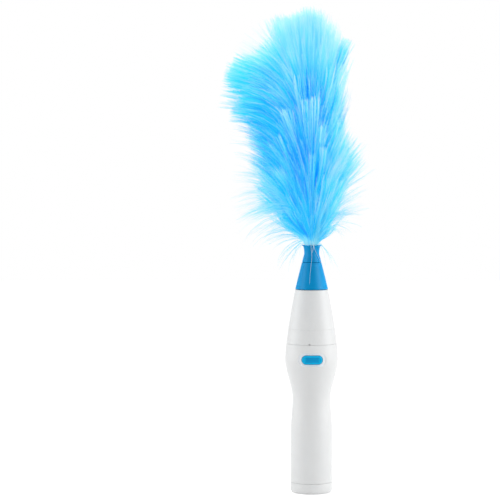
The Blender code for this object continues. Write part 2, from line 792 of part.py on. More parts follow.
def shoulder_ring():
    """The trim ring over the joint of grip and nose, with a small notch in its lower edge."""
    bottom = SEAM_Z + SEAT_GAP
    top = RING_TOP - SEAT_GAP / 2
    profile = [(handle_radius(z), z) for z in reversed(heights_between(bottom, top, 2))]
    profile += [(RING_BORE, bottom), (RING_BORE, top)]
    ring = turned("shoulder_ring", profile, WHITE_PLASTIC, SHELL_STEPS)
    notch = box(
        "ring_notch",
        (-NOTCH_HALF_WIDTH, -handle_radius(SEAM_Z) - CUT_OVERRUN, bottom - CUT_OVERRUN),
        (NOTCH_HALF_WIDTH, -RING_BORE - RING_WALL / 2, bottom + NOTCH_HEIGHT),
        None,
    )
    cut(ring, notch)


def nose_housing():
    """The upper casing, with seats for the gearbox plates and the upper bush."""
    tongue_bottom = TONGUE_SPLIT + SEAT_GAP / 2
    shoulder = RING_TOP + SEAT_GAP / 2
    hole = BUSH_HOLE
    block = BUSH_HOLE + BUSH_FLANGE + SEAT_GAP
    wall_bottom = NOSE_TOP - NOSE_TOP_WALL
    motor_seat = MOTOR_PLATE_TOP + SEAT_GAP
    profile = [(hole, NOSE_TOP), (NOSE_TOP_RADIUS - NOSE_EDGE, NOSE_TOP)]
    outside = reversed(heights_between(shoulder, NOSE_TOP - NOSE_EDGE, 2))
    profile += [(handle_radius(z), z) for z in outside]
    profile += [
        (TONGUE_RADIUS, shoulder),
        (TONGUE_RADIUS, tongue_bottom),
        (TONGUE_BORE, tongue_bottom),
        (TONGUE_BORE, shoulder),
        (MOTOR_PLATE_BORE, MOTOR_PLATE_Z - LONG_SCREW_HEAD_HEIGHT - SEAT_GAP),
        (MOTOR_PLATE_BORE, motor_seat),
        (GEAR_ROOM_RADIUS, motor_seat),
        (GEAR_ROOM_RADIUS, WHEEL_TOP),
        (BEARING_BORE, BEARING_Z),
        (BEARING_BORE, BEARING_SEAT),
        (block, BEARING_SEAT),
        (block, wall_bottom),
        (hole, wall_bottom),
    ]
    nose = turned("nose_housing", profile, WHITE_PLASTIC, SHELL_STEPS)
    for x, y in post_places():
        bottom = BEARING_SEAT - CUT_OVERRUN
        top = BEARING_SEAT + LONG_SCREW_BITE + SEAT_GAP
        cut(nose, rod("nose_screw_hole", LONG_SCREW_HOLE, bottom, top, None, TINY_STEPS, (x, y, 0)))


def post_places():
    """Where the gearbox posts and their long screws stand."""
    turns = [math.radians(angle) for angle in POST_ANGLES]
    return [(POST_CIRCLE * math.cos(a), POST_CIRCLE * math.sin(a)) for a in turns]


def gearbox_plates():
    """The motor plate below the gears and the bearing plate, with its posts, above them."""
    screw_holes = [circle(LONG_SCREW_HOLE, TINY_STEPS, centre=place) for place in post_places()]
    pin_hole = circle(IDLER_PIN_RADIUS + SEAT_GAP, TINY_STEPS, centre=(CENTRE_DISTANCE, 0))
    motor_holes = [
        circle(MOTOR_SCREW_RADIUS + SEAT_GAP, TINY_STEPS, centre=(0, side * MOTOR_SCREW_OFFSET))
        for side in (-1, 1)
    ]
    boss_hole = circle(CAN_BOSS_RADIUS + SEAT_GAP, SMALL_STEPS)
    outline = circle(MOTOR_PLATE_BORE - SEAT_GAP)
    loops = [outline, boss_hole, pin_hole] + screw_holes + motor_holes
    flat_piece("motor_plate", loops, MOTOR_PLATE_Z, MOTOR_PLATE_TOP, STEEL)
    outline = circle(BEARING_RADIUS)
    loops = [outline, circle(BUSH_HOLE), pin_hole] + screw_holes
    flat_piece("bearing_plate", loops, BEARING_Z, BEARING_TOP, BLACK_PLASTIC)
    for number, place in enumerate(post_places(), 1):
        loops = [
            circle(POST_RADIUS, SMALL_STEPS, centre=place),
            circle(LONG_SCREW_HOLE, TINY_STEPS, centre=place),
        ]
        name = f"gearbox_post_{number}"
        flat_piece(name, loops, MOTOR_PLATE_TOP + SEAT_GAP, BEARING_Z - SEAT_GAP, BRASS)


def screw_profile(shank, head, head_height, top, bottom, head_on_top):
    """The profile of a screw between two heights, with its head at one end."""
    if head_on_top:
        neck = top - head_height
        return [(0, top), (head, top), (head, neck), (shank, neck), (shank, bottom), (0, bottom)]
    neck = bottom + head_height
    return [(0, top), (shank, top), (shank, neck), (head, neck), (head, bottom), (0, bottom)]


def gearbox_screws():
    """Three long screws through the posts and two short ones into the motor."""
    head_top = MOTOR_PLATE_Z - SEAT_GAP
    bottom = head_top - LONG_SCREW_HEAD_HEIGHT
    profile = screw_profile(
        LONG_SCREW_RADIUS,
        LONG_SCREW_HEAD,
        LONG_SCREW_HEAD_HEIGHT,
        BEARING_SEAT + LONG_SCREW_BITE,
        bottom,
        False,
    )
    for number, (x, y) in enumerate(post_places(), 1):
        turned(f"gearbox_screw_{number}", profile, STEEL, TINY_STEPS, False, (x, y, 0))
    profile = screw_profile(
        MOTOR_SCREW_RADIUS,
        MOTOR_SCREW_HEAD,
        MOTOR_SCREW_HEAD_HEIGHT,
        MOTOR_PLATE_TOP + SEAT_GAP + MOTOR_SCREW_HEAD_HEIGHT,
        CAN_TOP - MOTOR_SCREW_BITE,
        True,
    )
    for number, side in enumerate((-1, 1), 1):
        place = (0, side * MOTOR_SCREW_OFFSET, 0)
        turned(f"motor_screw_{number}", profile, STEEL, TINY_STEPS, False, place)


def bushes():
    """Two flanged bushes that carry the spindle."""
    flange = BUSH_RADIUS + BUSH_FLANGE
    wall_bottom = NOSE_TOP - NOSE_TOP_WALL
    flange_top = wall_bottom - SEAT_GAP
    flange_z = flange_top - BUSH_FLANGE_THICKNESS
    upper = [
        (SPINDLE_BORE, NOSE_TOP),
        (BUSH_RADIUS, NOSE_TOP),
        (BUSH_RADIUS, flange_top),
        (flange, flange_top),
        (flange, flange_z),
        (SPINDLE_BORE, flange_z),
    ]
    turned("upper_bush", upper, BRONZE)
    flange_z = BEARING_TOP + SEAT_GAP
    flange_top = flange_z + BUSH_FLANGE_THICKNESS
    lower = [
        (SPINDLE_BORE, flange_top),
        (flange, flange_top),
        (flange, flange_z),
        (BUSH_RADIUS, flange_z),
        (BUSH_RADIUS, BEARING_Z),
        (SPINDLE_BORE, BEARING_Z),
    ]
    turned("lower_bush", lower, BRONZE)


def involute(angle):
    """The involute function of a pressure angle."""
    return math.tan(angle) - angle


def gear_outline(teeth, shift, first_angle):
    """The outline of a gear with involute teeth, the first centred on an angle."""
    pitch_radius = MODULE * teeth / 2
    base_radius = pitch_radius * math.cos(PRESSURE_ANGLE)
    tip_radius = MODULE * (teeth / 2 + TIP_SHARE + shift)
    root_radius = MODULE * (teeth / 2 + shift - ROOT_SHARE)
    thickness = MODULE * (math.pi / 2 + 2 * shift * math.tan(PRESSURE_ANGLE)) - BACKLASH / 2
    half_tooth = thickness / (2 * pitch_radius) + involute(PRESSURE_ANGLE)

    def half_angle(radius):
        pressure = math.acos(min(base_radius / radius, 1))
        return half_tooth - involute(pressure)

    flank = [(radius, half_angle(max(radius, base_radius))) for radius in (root_radius, tip_radius)]
    tooth = [(radius, -half) for radius, half in flank] + list(reversed(flank))
    points = []
    for i in range(teeth):
        centre = first_angle + 2 * math.pi * i / teeth
        for radius, half in tooth:
            points.append((radius * math.cos(centre + half), radius * math.sin(centre + half)))
    return points


def gears():
    """The motor pinion, the compound idler on its pin, and the output gear."""
    pinion = gear_outline(PINION_TEETH, PROFILE_SHIFT, 0)
    bore = circle(SHAFT_RADIUS + PRESS_GAP, SMALL_STEPS)
    pinion_z = WHEEL_Z - GEAR_CLEARANCE / 2
    flat_piece("motor_pinion", [pinion, bore], pinion_z, WHEEL_TOP, BRASS)

    place = (CENTRE_DISTANCE, 0, 0)
    wheel = gear_outline(WHEEL_TEETH, -PROFILE_SHIFT, math.pi + math.pi / WHEEL_TEETH)
    idler = flat_piece("idler_gear", [wheel], WHEEL_Z, WHEEL_TOP, NYLON, place)
    small = gear_outline(PINION_TEETH, PROFILE_SHIFT, math.pi + math.pi / PINION_TEETH)
    middle = (WHEEL_Z + WHEEL_TOP) / 2
    join(idler, flat_piece("idler_pinion", [small], middle, OUTPUT_TOP, None, place))
    hole = IDLER_PIN_RADIUS + PRESS_GAP
    low = WHEEL_Z - CUT_OVERRUN
    high = OUTPUT_TOP + CUT_OVERRUN
    cut(idler, rod("idler_bore", hole, low, high, None, SMALL_STEPS, place))
    pin_z = MOTOR_PLATE_Z + SEAT_GAP
    rod("idler_pin", IDLER_PIN_RADIUS, pin_z, BEARING_TOP, STEEL, SMALL_STEPS, place)

    output = gear_outline(WHEEL_TEETH, -PROFILE_SHIFT, 0)
    bore = circle(SPINDLE_RADIUS + PRESS_GAP)
    flat_piece("output_gear", [output, bore], OUTPUT_Z, OUTPUT_TOP, NYLON)


def flat_sided(radius, half_flat, steps=PIECE_STEPS):
    """A circle with two flats that face -X and +X."""
    flat_angle = math.acos(half_flat / radius)
    half = steps // 2
    front = []
    for i in range(half + 1):
        turn = between(flat_angle, math.pi - flat_angle, i / half)
        front.append((radius * math.cos(turn), radius * math.sin(turn)))
    return front + [(-x, -y) for x, y in front]


def motor_case():
    """The drawn steel can, open below, and the plastic end bell that closes it."""
    outline = flat_sided(CAN_RADIUS, CAN_HALF_FLAT)
    inner = flat_sided(CAN_RADIUS - CAN_WALL, CAN_HALF_FLAT - CAN_WALL)
    can = flat_piece("motor_can", [outline], CAN_Z, CAN_TOP, STEEL)
    boss_top = CAN_TOP + CAN_BOSS_HEIGHT
    join(can, rod("can_boss", CAN_BOSS_RADIUS, CAN_TOP - CAN_WALL / 2, boss_top, None))
    cut(can, flat_piece("can_cavity", [inner], CAN_Z - CUT_OVERRUN, CAN_TOP - CAN_WALL, None))
    shaft_hole = SHAFT_RADIUS + PRESS_GAP
    low = CAN_TOP - CAN_WALL - CUT_OVERRUN
    cut(can, rod("can_shaft_hole", shaft_hole, low, boss_top + CUT_OVERRUN, None))
    for side in (-1, 1):
        place = (0, side * MOTOR_SCREW_OFFSET, 0)
        high = CAN_TOP + CUT_OVERRUN
        hole = MOTOR_SCREW_RADIUS + SEAT_GAP
        cut(can, rod("can_screw_hole", hole, low, high, None, TINY_STEPS, place))
    bell = flat_piece("motor_end_bell", [outline], BELL_Z, BELL_TOP, BLACK_PLASTIC)
    room = COMMUTATOR_RADIUS + RUN_GAP
    cut(bell, rod("bell_room", room, BELL_Z + BELL_FLOOR, BELL_TOP + CUT_OVERRUN, None))


def arc_sector(inner, outer, middle_angle, half_angle, steps=6):
    """The outline of a ring segment."""
    turns = [
        math.radians(between(middle_angle - half_angle, middle_angle + half_angle, i / steps))
        for i in range(steps + 1)
    ]
    outside = [(outer * math.cos(a), outer * math.sin(a)) for a in turns]
    inside = [(inner * math.cos(a), inner * math.sin(a)) for a in reversed(turns)]
    return outside + inside


def motor_inside():
    """Two magnets on the can's wall and the armature that turns between them."""
    top = CAN_TOP - CAN_WALL - ARMATURE_END_SPACE
    bottom = top - ARMATURE_LENGTH
    outer = CAN_RADIUS - CAN_WALL - SEAT_GAP
    inner = outer - MAGNET_THICKNESS
    for name, angle in (("motor_magnet_front", -90), ("motor_magnet_back", 90)):
        loop = arc_sector(inner, outer, angle, MAGNET_HALF_ANGLE)
        flat_piece(name, [loop], bottom, top, FERRITE)
    armature = min(inner, CAN_HALF_FLAT - CAN_WALL) - ARMATURE_GAP
    slot = armature - ARMATURE_SLOT
    outline = []
    for pole in range(3):
        for offset, radius in ((-48, armature), (-24, armature), (0, armature), (24, armature),
                               (48, armature), (54, slot), (66, slot)):
            turn = math.radians(120 * pole + offset)
            outline.append((radius * math.cos(turn), radius * math.sin(turn)))
    bore = circle(SHAFT_RADIUS + PRESS_GAP, SMALL_STEPS)
    flat_piece("armature", [outline, bore], bottom, top, STEEL)
    low = BELL_Z + BELL_FLOOR + SEAT_GAP
    profile = tube_profile(SHAFT_RADIUS + PRESS_GAP, COMMUTATOR_RADIUS, low, low + COMMUTATOR_LENGTH)
    turned("commutator", profile, COPPER, SMALL_STEPS)
    rod("motor_shaft", SHAFT_RADIUS, low, WHEEL_TOP, STEEL)


def motor_wiring():
    """Two terminals under the motor and the leads that come up to them."""
    top = BELL_Z - SEAT_GAP
    bottom = top - TERMINAL_LENGTH
    y = LEAD_BOW
    for name, side in (("motor_terminal_left", -1), ("motor_terminal_right", 1)):
        x = side * TERMINAL_OFFSET
        low = (x - TERMINAL_HALF_WIDTH, y - TERMINAL_THICKNESS / 2, bottom)
        high = (x + TERMINAL_HALF_WIDTH, y + TERMINAL_THICKNESS / 2, top)
        box(name, low, high, BRASS)
    foot_z = BOARD_TOP + SEAT_GAP
    end_z = bottom - SEAT_GAP
    for name, side, finish in (("motor_lead_red", -1, RED_LEAD), ("motor_lead_black", 1, BLACK_LEAD)):
        points = []
        steps = 10
        for i in range(steps + 1):
            share = i / steps
            bow = LEAD_BOW * math.sin(math.pi * share)
            x = side * (TERMINAL_OFFSET + bow)
            points.append((x, y + bow / 2, between(foot_z, end_z, share)))
        wire(name, points, LEAD_RADIUS, finish, resolution=1)


def spindle_parts():
    """The output spindle with its hexagonal end, and the clip that keeps it in the nose."""
    hex_z = NOSE_TOP + HEX_FOOT
    hex_top = CONE_TOP - CONE_TOP_WALL - HEX_TOP_CLEAR
    spindle = rod("output_spindle", SPINDLE_RADIUS, OUTPUT_Z, hex_z, STEEL, PIECE_STEPS)
    hex_end = rod("spindle_hex", HEX_CORNER_RADIUS, hex_z - HEX_FOOT / 2, hex_top, None, 6)
    join(spindle, hex_end)
    clip_z = NOSE_TOP + SEAT_GAP
    inner = SPINDLE_RADIUS + PRESS_GAP
    profile = tube_profile(inner, inner + CLIP_WIDTH, clip_z, clip_z + CLIP_THICKNESS)
    turned("spindle_clip", profile, STEEL, SMALL_STEPS)


def head_cone():
    """The skirt of the head: a hollow cone with a hub that takes the drive socket."""
    socket = socket_radius() + SEAT_GAP
    hub = socket + HUB_WALL
    hub_bottom = NOSE_TOP + SEAT_GAP + CLIP_THICKNESS + RUN_GAP
    ceiling = CONE_TOP - CONE_TOP_WALL
    slope = (CONE_BASE_RADIUS - CONE_TOP_RADIUS) / CONE_HEIGHT
    inside_top = ceiling - CONE_WALL
    inside_radius = CONE_BASE_RADIUS - slope * (inside_top - CONE_Z) - CONE_WALL
    profile = [
        (STEM_BORE, CONE_TOP),
        (CONE_TOP_RADIUS, CONE_TOP),
        (CONE_BASE_RADIUS, CONE_Z),
        (CONE_BASE_RADIUS - CONE_WALL, CONE_Z),
        (inside_radius, inside_top),
        (hub, inside_top),
        (hub, hub_bottom),
        (socket, hub_bottom),
        (socket, ceiling),
        (STEM_BORE, ceiling),
    ]
    turned("head_cone", profile, BLUE_PLASTIC, SHELL_STEPS)


def socket_half_flat():
    """Half the width across flats of the hexagonal bore."""
    return HEX_CORNER_RADIUS * math.cos(math.pi / 6) + SEAT_GAP


def socket_radius():
    """Outer radius of the drive socket."""
    return socket_half_flat() / math.cos(math.pi / 6) + SOCKET_WALL


def drive_socket():
    """The insert in the cone's hub with a hexagonal bore for the spindle."""
    bottom = NOSE_TOP + HEX_FOOT + SEAT_GAP
    top = CONE_TOP - CONE_TOP_WALL - SEAT_GAP
    bore = circle(socket_half_flat() / math.cos(math.pi / 6), 6)
    flat_piece("drive_socket", [circle(socket_radius()), bore], bottom, top, NYLON)


def neck_collar():
    """The flared collar that grips the foot of the plume."""
    foot = CONE_TOP_RADIUS + COLLAR_FOOT_PROUD
    neck_z = COLLAR_Z + COLLAR_HEIGHT * COLLAR_NECK_SHARE
    mouth_z = COLLAR_Z + COLLAR_HEIGHT * COLLAR_MOUTH_SHARE
    foot_top = COLLAR_Z + COLLAR_FOOT_HEIGHT
    profile = [(COLLAR_LIP_RADIUS - COLLAR_LIP_WALL, COLLAR_TOP), (COLLAR_LIP_RADIUS, COLLAR_TOP)]
    for i in (3, 2, 1, 0):
        share = i / 4
        radius = between(COLLAR_NECK_RADIUS, COLLAR_LIP_RADIUS, share ** 2)
        profile.append((radius, between(neck_z, COLLAR_TOP, share)))
    profile += [
        (between(COLLAR_NECK_RADIUS, CONE_TOP_RADIUS, 0.5), between(neck_z, foot_top, 0.75)),
        (foot, foot_top),
        (foot, COLLAR_Z),
        (STEM_BORE, COLLAR_Z),
        (STEM_BORE, mouth_z),
        (COLLAR_NECK_RADIUS - COLLAR_LIP_WALL, mouth_z + COLLAR_LIP_WALL),
        (COLLAR_NECK_RADIUS - COLLAR_LIP_WALL, neck_z + COLLAR_LIP_WALL),
    ]
    turned("neck_collar", profile, BLUE_PLASTIC, COLLAR_STEPS)


def head_stem():
    """The rod up the middle of the plume."""
    rod("head_stem", STEM_RADIUS, STEM_Z, STEM_TOP, NYLON, PIECE_STEPS)


def stem_share(start):
    """How far up the stem a ring of strands starts, from 0 to 1."""
    return (start - FIRST_RING_Z) / (SLEEVES_TOP - FIRST_RING_Z)


def rise_share(up):
    """How steeply strands rise, by how far up the stem they start."""
    return 0.62 + 0.5 * eased(up / 0.45) - 0.56 * eased((up - 0.55) / 0.45)


def droop_share(up):
    """How much strand ends hang down, by how far up the stem they start."""
    return 1.15 * (1 - eased(up / 0.55))


def reach_share(up):
    """How far strands reach from the stem before the plume leans."""
    return 1.08 - 0.1 * eased(up / 0.4) - 0.38 * eased((up - 0.6) / 0.4)


def lean_share(height_share):
    """How much more the plume reaches to the left than to the right, by its height."""
    return 0.14 + 0.42 * eased((height_share - 0.3) / 0.25)


def plume_place(start, angle, reach):
    """A place in the plume, for a strand's start, its direction and its reach.

    Lower strands pass outside higher ones at every reach, and the lean only stretches each
    direction by itself, so no two strands cross.
    """
    up = stem_share(start)
    spread = reach / PLUME_REACH
    z = start + PLUME_RISE * rise_share(up) * spread ** 0.62
    z -= PLUME_DROOP * droop_share(up) * spread ** 3
    height_share = (z - COLLAR_TOP) / (SLEEVES_TOP - COLLAR_TOP)
    turn = angle + STRAND_TURN * spread
    lean = lean_share(height_share) * min(spread * 2, 1)
    stretch = 1.05 - lean * math.cos(turn)
    radius = SLEEVE_RADIUS + reach * stretch
    return Vector((radius * math.cos(turn), radius * math.sin(turn), z))


def strand_reach(up, number, ring):
    """The reach of one strand, which varies a little from strand to strand."""
    vary = 0.86 + 0.14 * math.sin(2.4 * number + 1.7 * ring)
    return PLUME_REACH * reach_share(up) * vary


def grow_strand(shape, face, start, angle, reach):
    """Draw a strand out of one triangle of the sleeve, bend by bend, to a point."""
    outward = Vector((math.cos(angle), math.sin(angle), 0))
    across = Vector((0, 0, 1)).cross(outward)
    offset = face.verts[0].co - face.calc_center_median()
    first_turn = math.atan2(offset.z, offset.dot(across))
    for share, thick in zip(STRAND_BEND_SHARES, STRAND_TAPER_SHARES):
        face = bmesh.ops.extrude_discrete_faces(shape, faces=[face])["faces"][0]
        place = plume_place(start, angle, reach * share)
        ahead = (place - plume_place(start, angle, reach * share * BACK_SHARE)).normalized()
        across = Vector((0, 0, 1)).cross(ahead).normalized()
        upwards = ahead.cross(across)
        for i, vert in enumerate(face.verts):
            turn = first_turn + 2 * math.pi * i / 3
            side = across * math.cos(turn) + upwards * math.sin(turn)
            vert.co = place + side * STRAND_RADIUS * thick
    tip = bmesh.ops.poke(shape, faces=[face])["verts"][0]
    tip.co = plume_place(start, angle, reach)


def tuft(name, first_ring, ring_count):
    """One sleeve on the stem with its rings of strands."""
    bottom = FIRST_RING_Z + first_ring * RING_PITCH
    top = bottom + ring_count * RING_PITCH - SEAT_GAP
    heights = [bottom]
    for ring in range(ring_count):
        root = bottom + ring * RING_PITCH + (RING_PITCH - ROOT_BAND) / 2
        heights += [root, root + ROOT_BAND]
    heights.append(top)
    shape = bmesh.new()
    outer = [sleeve_loop(shape, SLEEVE_RADIUS, z) for z in heights]
    inner = [sleeve_loop(shape, STEM_BORE, z) for z in (bottom, top)]
    roots = []
    for level in range(len(heights) - 1):
        quads = bridge(shape, outer[level], outer[level + 1])
        if level % 2:
            roots.append(quads)
    bridge(shape, outer[-1], inner[1])
    bridge(shape, inner[1], inner[0])
    bridge(shape, inner[0], outer[0])
    for ring, quads in enumerate(roots):
        start = bottom + (ring + 0.5) * RING_PITCH
        up = stem_share(start)
        for number, quad in enumerate(quads):
            split = bmesh.ops.triangulate(shape, faces=[quad])
            face = split["faces"][0]
            centre = face.calc_center_median()
            angle = math.atan2(centre.y, centre.x)
            grow_strand(shape, face, start, angle, strand_reach(up, number, first_ring + ring))
    bmesh.ops.recalc_face_normals(shape, faces=shape.faces)
    mesh = bpy.data.meshes.new(name)
    shape.to_mesh(mesh)
    shape.free()
    return add_object(name, mesh, BLUE_FIBRE)


def sleeve_loop(shape, radius, z):
    """A ring of vertices round the stem."""
    return [shape.verts.new((x, y, z)) for x, y in circle(radius, SLEEVE_SIDES)]


def plume():
    """Five tufts, one above another on the stem."""
    first = 0
    for name, count in zip(TIER_NAMES, RINGS_PER_TIER):
        tuft(name, first, count)
        first += count


for old in list(bpy.data.objects):
    bpy.data.objects.remove(old, do_unlink=True)

PARTS = bpy.data.collections.new("electric_feather_duster")
CUTTERS = bpy.data.collections.new("cutters")
for collection in (PARTS, CUTTERS):
    bpy.context.scene.collection.children.link(collection)

WHITE_PLASTIC = material("white_plastic", "eceded", 0.35)
BLUE_PLASTIC = material("blue_plastic", "1089cf", 0.3)
BLUE_FIBRE = material("blue_fibre", "4cc0fb", 0.55)
BLACK_PLASTIC = material("black_plastic", "26282b", 0.5)
NYLON = material("natural_nylon", "e6e2d6", 0.45)
NICKEL = material("nickel_plate", "c9c7c1", 0.25, 1)
STEEL = material("steel", "a9adb2", 0.32, 1)
BRASS = material("brass", "c9a85a", 0.3, 1)
BRONZE = material("sintered_bronze", "a9784a", 0.5, 1)
COPPER = material("copper", "c27a55", 0.3, 1)
FERRITE = material("ferrite", "3a3a3d", 0.6)
CIRCUIT_BOARD = material("circuit_board", "2f6b3c", 0.5)
CELL_JACKET = material("cell_jacket", "5a5f66", 0.4)
RED_LEAD = material("red_lead", "b3261e", 0.5)
BLACK_LEAD = material("black_lead", "1d1d1f", 0.5)

base_cap()
disc_screw()
tail_contact_disc()
tail_bridge_strip()
contact_springs()
battery_cells()
battery_divider()
head_contacts()
grip_housing()
push_button()
switch_parts()
shoulder_ring()
nose_housing()
gearbox_plates()
gearbox_screws()
bushes()
gears()
motor_case()
motor_inside()
motor_wiring()
spindle_parts()
head_cone()
drive_socket()
neck_collar()
head_stem()
plume()
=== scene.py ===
# %% [markdown]
# # Battery feather duster
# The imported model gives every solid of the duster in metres, standing on its flat cap with
# +Z up its spindle and the button facing -Y. Those solids are the fixed frame. This lesson
# dresses them: the seven shells that the eye meets and the button's spring are made again with
# more sides, the plume is grown fibre by fibre, and every other piece keeps its solid and gets
# a finish.

# %% Load the frame
import math
from functools import partial

import bmesh
import bpy
import numpy as np
from mathutils import Matrix, Vector


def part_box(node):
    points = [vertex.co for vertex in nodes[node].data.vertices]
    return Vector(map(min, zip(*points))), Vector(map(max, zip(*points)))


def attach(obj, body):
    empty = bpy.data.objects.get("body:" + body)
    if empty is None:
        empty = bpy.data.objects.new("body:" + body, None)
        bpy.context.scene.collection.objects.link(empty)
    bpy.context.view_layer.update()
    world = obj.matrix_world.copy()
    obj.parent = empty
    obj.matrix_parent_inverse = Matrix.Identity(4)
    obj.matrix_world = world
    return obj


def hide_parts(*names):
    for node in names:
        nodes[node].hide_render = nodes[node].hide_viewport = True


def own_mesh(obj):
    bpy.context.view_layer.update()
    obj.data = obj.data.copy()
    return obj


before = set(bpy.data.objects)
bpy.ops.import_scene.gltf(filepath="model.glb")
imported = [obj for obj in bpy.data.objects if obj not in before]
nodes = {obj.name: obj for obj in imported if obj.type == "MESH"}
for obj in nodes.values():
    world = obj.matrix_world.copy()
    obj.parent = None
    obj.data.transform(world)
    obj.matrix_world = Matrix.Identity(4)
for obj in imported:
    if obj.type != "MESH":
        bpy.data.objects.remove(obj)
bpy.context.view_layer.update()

# %% [markdown]
# All sizes here are written in millimetres, because that is how the real pieces are drawn, and
# are turned to metres where a mesh is made. Colours are the hex values a paint program shows,
# and one function turns them to the linear light that Blender's shaders reckon in.

# %% Units, colours and one function that adds a node
MM = 0.001


def linear(hex_colour):
    """A hex colour as linear light, by the sRGB curve."""
    channels = [int(hex_colour[i:i + 2], 16) / 255 for i in (0, 2, 4)]
    light = [c / 12.92 if c <= 0.04045 else ((c + 0.055) / 1.055) ** 2.4 for c in channels]
    return (*light, 1.0)


def pick(sockets, key):
    """A socket by its identifier, which is unique, or by its place."""
    if isinstance(key, int):
        return sockets[key]
    return next(s for s in sockets if s.identifier == key)


def add_node(tree, kind, inputs=(), **settings):
    """Add a node, set it up, and link or fill its inputs, listed in order or by identifier.

    A node among the inputs stands for its first output.
    """
    node = tree.nodes.new(kind)
    for name, value in settings.items():
        setattr(node, name, value)
    if not isinstance(inputs, dict):
        inputs = dict(enumerate(inputs))
    for key, value in inputs.items():
        socket = pick(node.inputs, key)
        if isinstance(value, bpy.types.Node):
            value = value.outputs[0]
        if isinstance(value, bpy.types.NodeSocket):
            tree.links.new(value, socket)
        else:
            socket.default_value = value
    return node


# %% [markdown]
# Nearly every finish of the duster is one colour that drifts a little, with a fine skin on it:
# the grain of a moulding or the lines of a tool. One function makes them all, from two near
# colours, two roughnesses, and the size and depth of the skin.

# %% A finish with a skin
EVEN, ALONG, AROUND = (1, 1, 1), (1, 1, 0.05), (0.15, 0.15, 2)
NOISE_LOW, NOISE_HIGH = 0.3, 0.7
DRIFT_DETAIL, SKIN_DETAIL, SKIN_STRENGTH = 3, 2, 0.5


def new_finish(name, values=None):
    """Make a material with these values on its shader, and return its tree and shader."""
    finish = bpy.data.materials.new(name)
    finish.use_nodes = True
    shader = finish.node_tree.nodes["Principled BSDF"]
    for key, value in (values or {}).items():
        shader.inputs[key].default_value = value
    return finish.node_tree, shader


def object_noise(tree, size_mm, stretch, detail):
    """Noise on object coordinates with steps of size_mm, drawn out where the stretch is small."""
    place = add_node(tree, "ShaderNodeTexCoord")
    scale = [s / (size_mm * MM) for s in stretch]
    mapping = add_node(tree, "ShaderNodeMapping",
                       {"Vector": pick(place.outputs, "Object"), "Scale": scale})
    return add_node(tree, "ShaderNodeTexNoise",
                    {"Vector": mapping, "Scale": 1.0, "Detail": detail})


def mottled(tree, shader, colours, rough, size_mm, stretch=EVEN):
    """Let the base colour and the roughness drift between two values over a broad noise."""
    noise = object_noise(tree, size_mm, stretch, DRIFT_DETAIL)
    mix = add_node(tree, "ShaderNodeMix",
                   {"Factor_Float": noise, "A_Color": linear(colours[0]),
                    "B_Color": linear(colours[1])}, data_type="RGBA")
    tree.links.new(pick(mix.outputs, "Result_Color"), shader.inputs["Base Color"])
    span = add_node(tree, "ShaderNodeMapRange",
                    {"Value": noise, "From Min": NOISE_LOW, "From Max": NOISE_HIGH,
                     "To Min": rough[0], "To Max": rough[1]})
    tree.links.new(span.outputs[0], shader.inputs["Roughness"])


def skinned(name, colours, rough, drift_mm, skin_mm, depth_mm, stretch, values):
    """A finish that drifts over drift_mm, with a skin of this size and depth."""
    tree, shader = new_finish(name, values)
    mottled(tree, shader, colours, rough, drift_mm, stretch)
    skin = object_noise(tree, skin_mm, stretch, SKIN_DETAIL)
    bump = add_node(tree, "ShaderNodeBump", {"Height": skin, "Distance": depth_mm * MM,
                                             "Strength": SKIN_STRENGTH})
    tree.links.new(bump.outputs[0], shader.inputs["Normal"])


# %% [markdown]
# The handle is moulded ABS with a satin, spark-eroded skin: the mould is etched so that the
# plastic hides fingerprints. To the eye that is a soft highlight with no sharp reflections.
# The grain is about 0.3 mm, finer than a pixel of the picture, so it only blurs the light
# from afar and shows close up. The blue pieces have little gloss set, because in the photograph
# they mirror hardly any of the white room.

# %% Moulded plastics
PLASTIC_IOR, PLASTIC_DRIFT = 1.53, 14
PLASTICS = [
    # name, two colours, roughness, grain and its depth in mm, gloss
    # Casings: clean white with one wide, soft highlight.
    ("satin_white_abs", ("e9eaea", "eeefef"), (0.36, 0.44), 0.3, 0.006, 0.5),
    # Cap and ring: the same white, slightly smoother, as from another mould.
    ("white_abs_trim", ("e9eaea", "edeeee"), (0.34, 0.42), 0.3, 0.005, 0.5),
    # Cone and collar: an even, strong blue with a faint sheen.
    ("satin_blue_abs", ("0091ce", "0097d6"), (0.40, 0.48), 0.35, 0.006, 0.06),
    # The button's rim: a lighter blue as a painted highlight, with a small, clear highlight from
    # its gloss.
    ("rim_blue_abs_painted_highlight", ("00b6ec", "00bcf0"), (0.24, 0.32), 0.5, 0.003, 0.12),
    # The button's dish: matt, and painted a deeper blue as painted shade in the hollow.
    ("dish_blue_abs_painted_shade", ("009ad6", "00a0dc"), (0.4, 0.5), 0.4, 0.01, 0.12),
    # The recess round the button: polished, and painted brighter than the casing as a painted
    # highlight of the light its slope catches.
    ("recess_white_abs_painted_highlight", ("f8fafc", "fcfdff"), (0.2, 0.28), 0.6, 0.002, 0.5),
    # Carriers inside: near black, dulled by their glass.
    ("black_glass_filled_nylon", ("222427", "2b2d30"), (0.45, 0.6), 0.6, 0.02, 0.5),
    # Gears and stem: milky and waxy.
    ("natural_acetal", ("e2ddd0", "eae6da"), (0.3, 0.4), 0.8, 0.004, 0.5),
    # Leads: soft, plain covers.
    ("red_pvc_cover", ("a8251f", "b8302a"), (0.32, 0.42), 0.4, 0.01, 0.5),
    ("black_pvc_cover", ("1a1a1c", "222226"), (0.32, 0.42), 0.4, 0.01, 0.5),
    # Tape under the fibres' roots: as blue as they are, and rough.
    ("dyed_root_tape", ("2ca4ec", "48b6f6"), (0.5, 0.62), 1.2, 0.05, 0.5),
    # Loose fibres over the collar: faded to almost white.
    ("bleached_polypropylene_fibre", ("d4eef8", "e6f6fc"), (0.45, 0.55), 3, 0.01, 0.5),
]
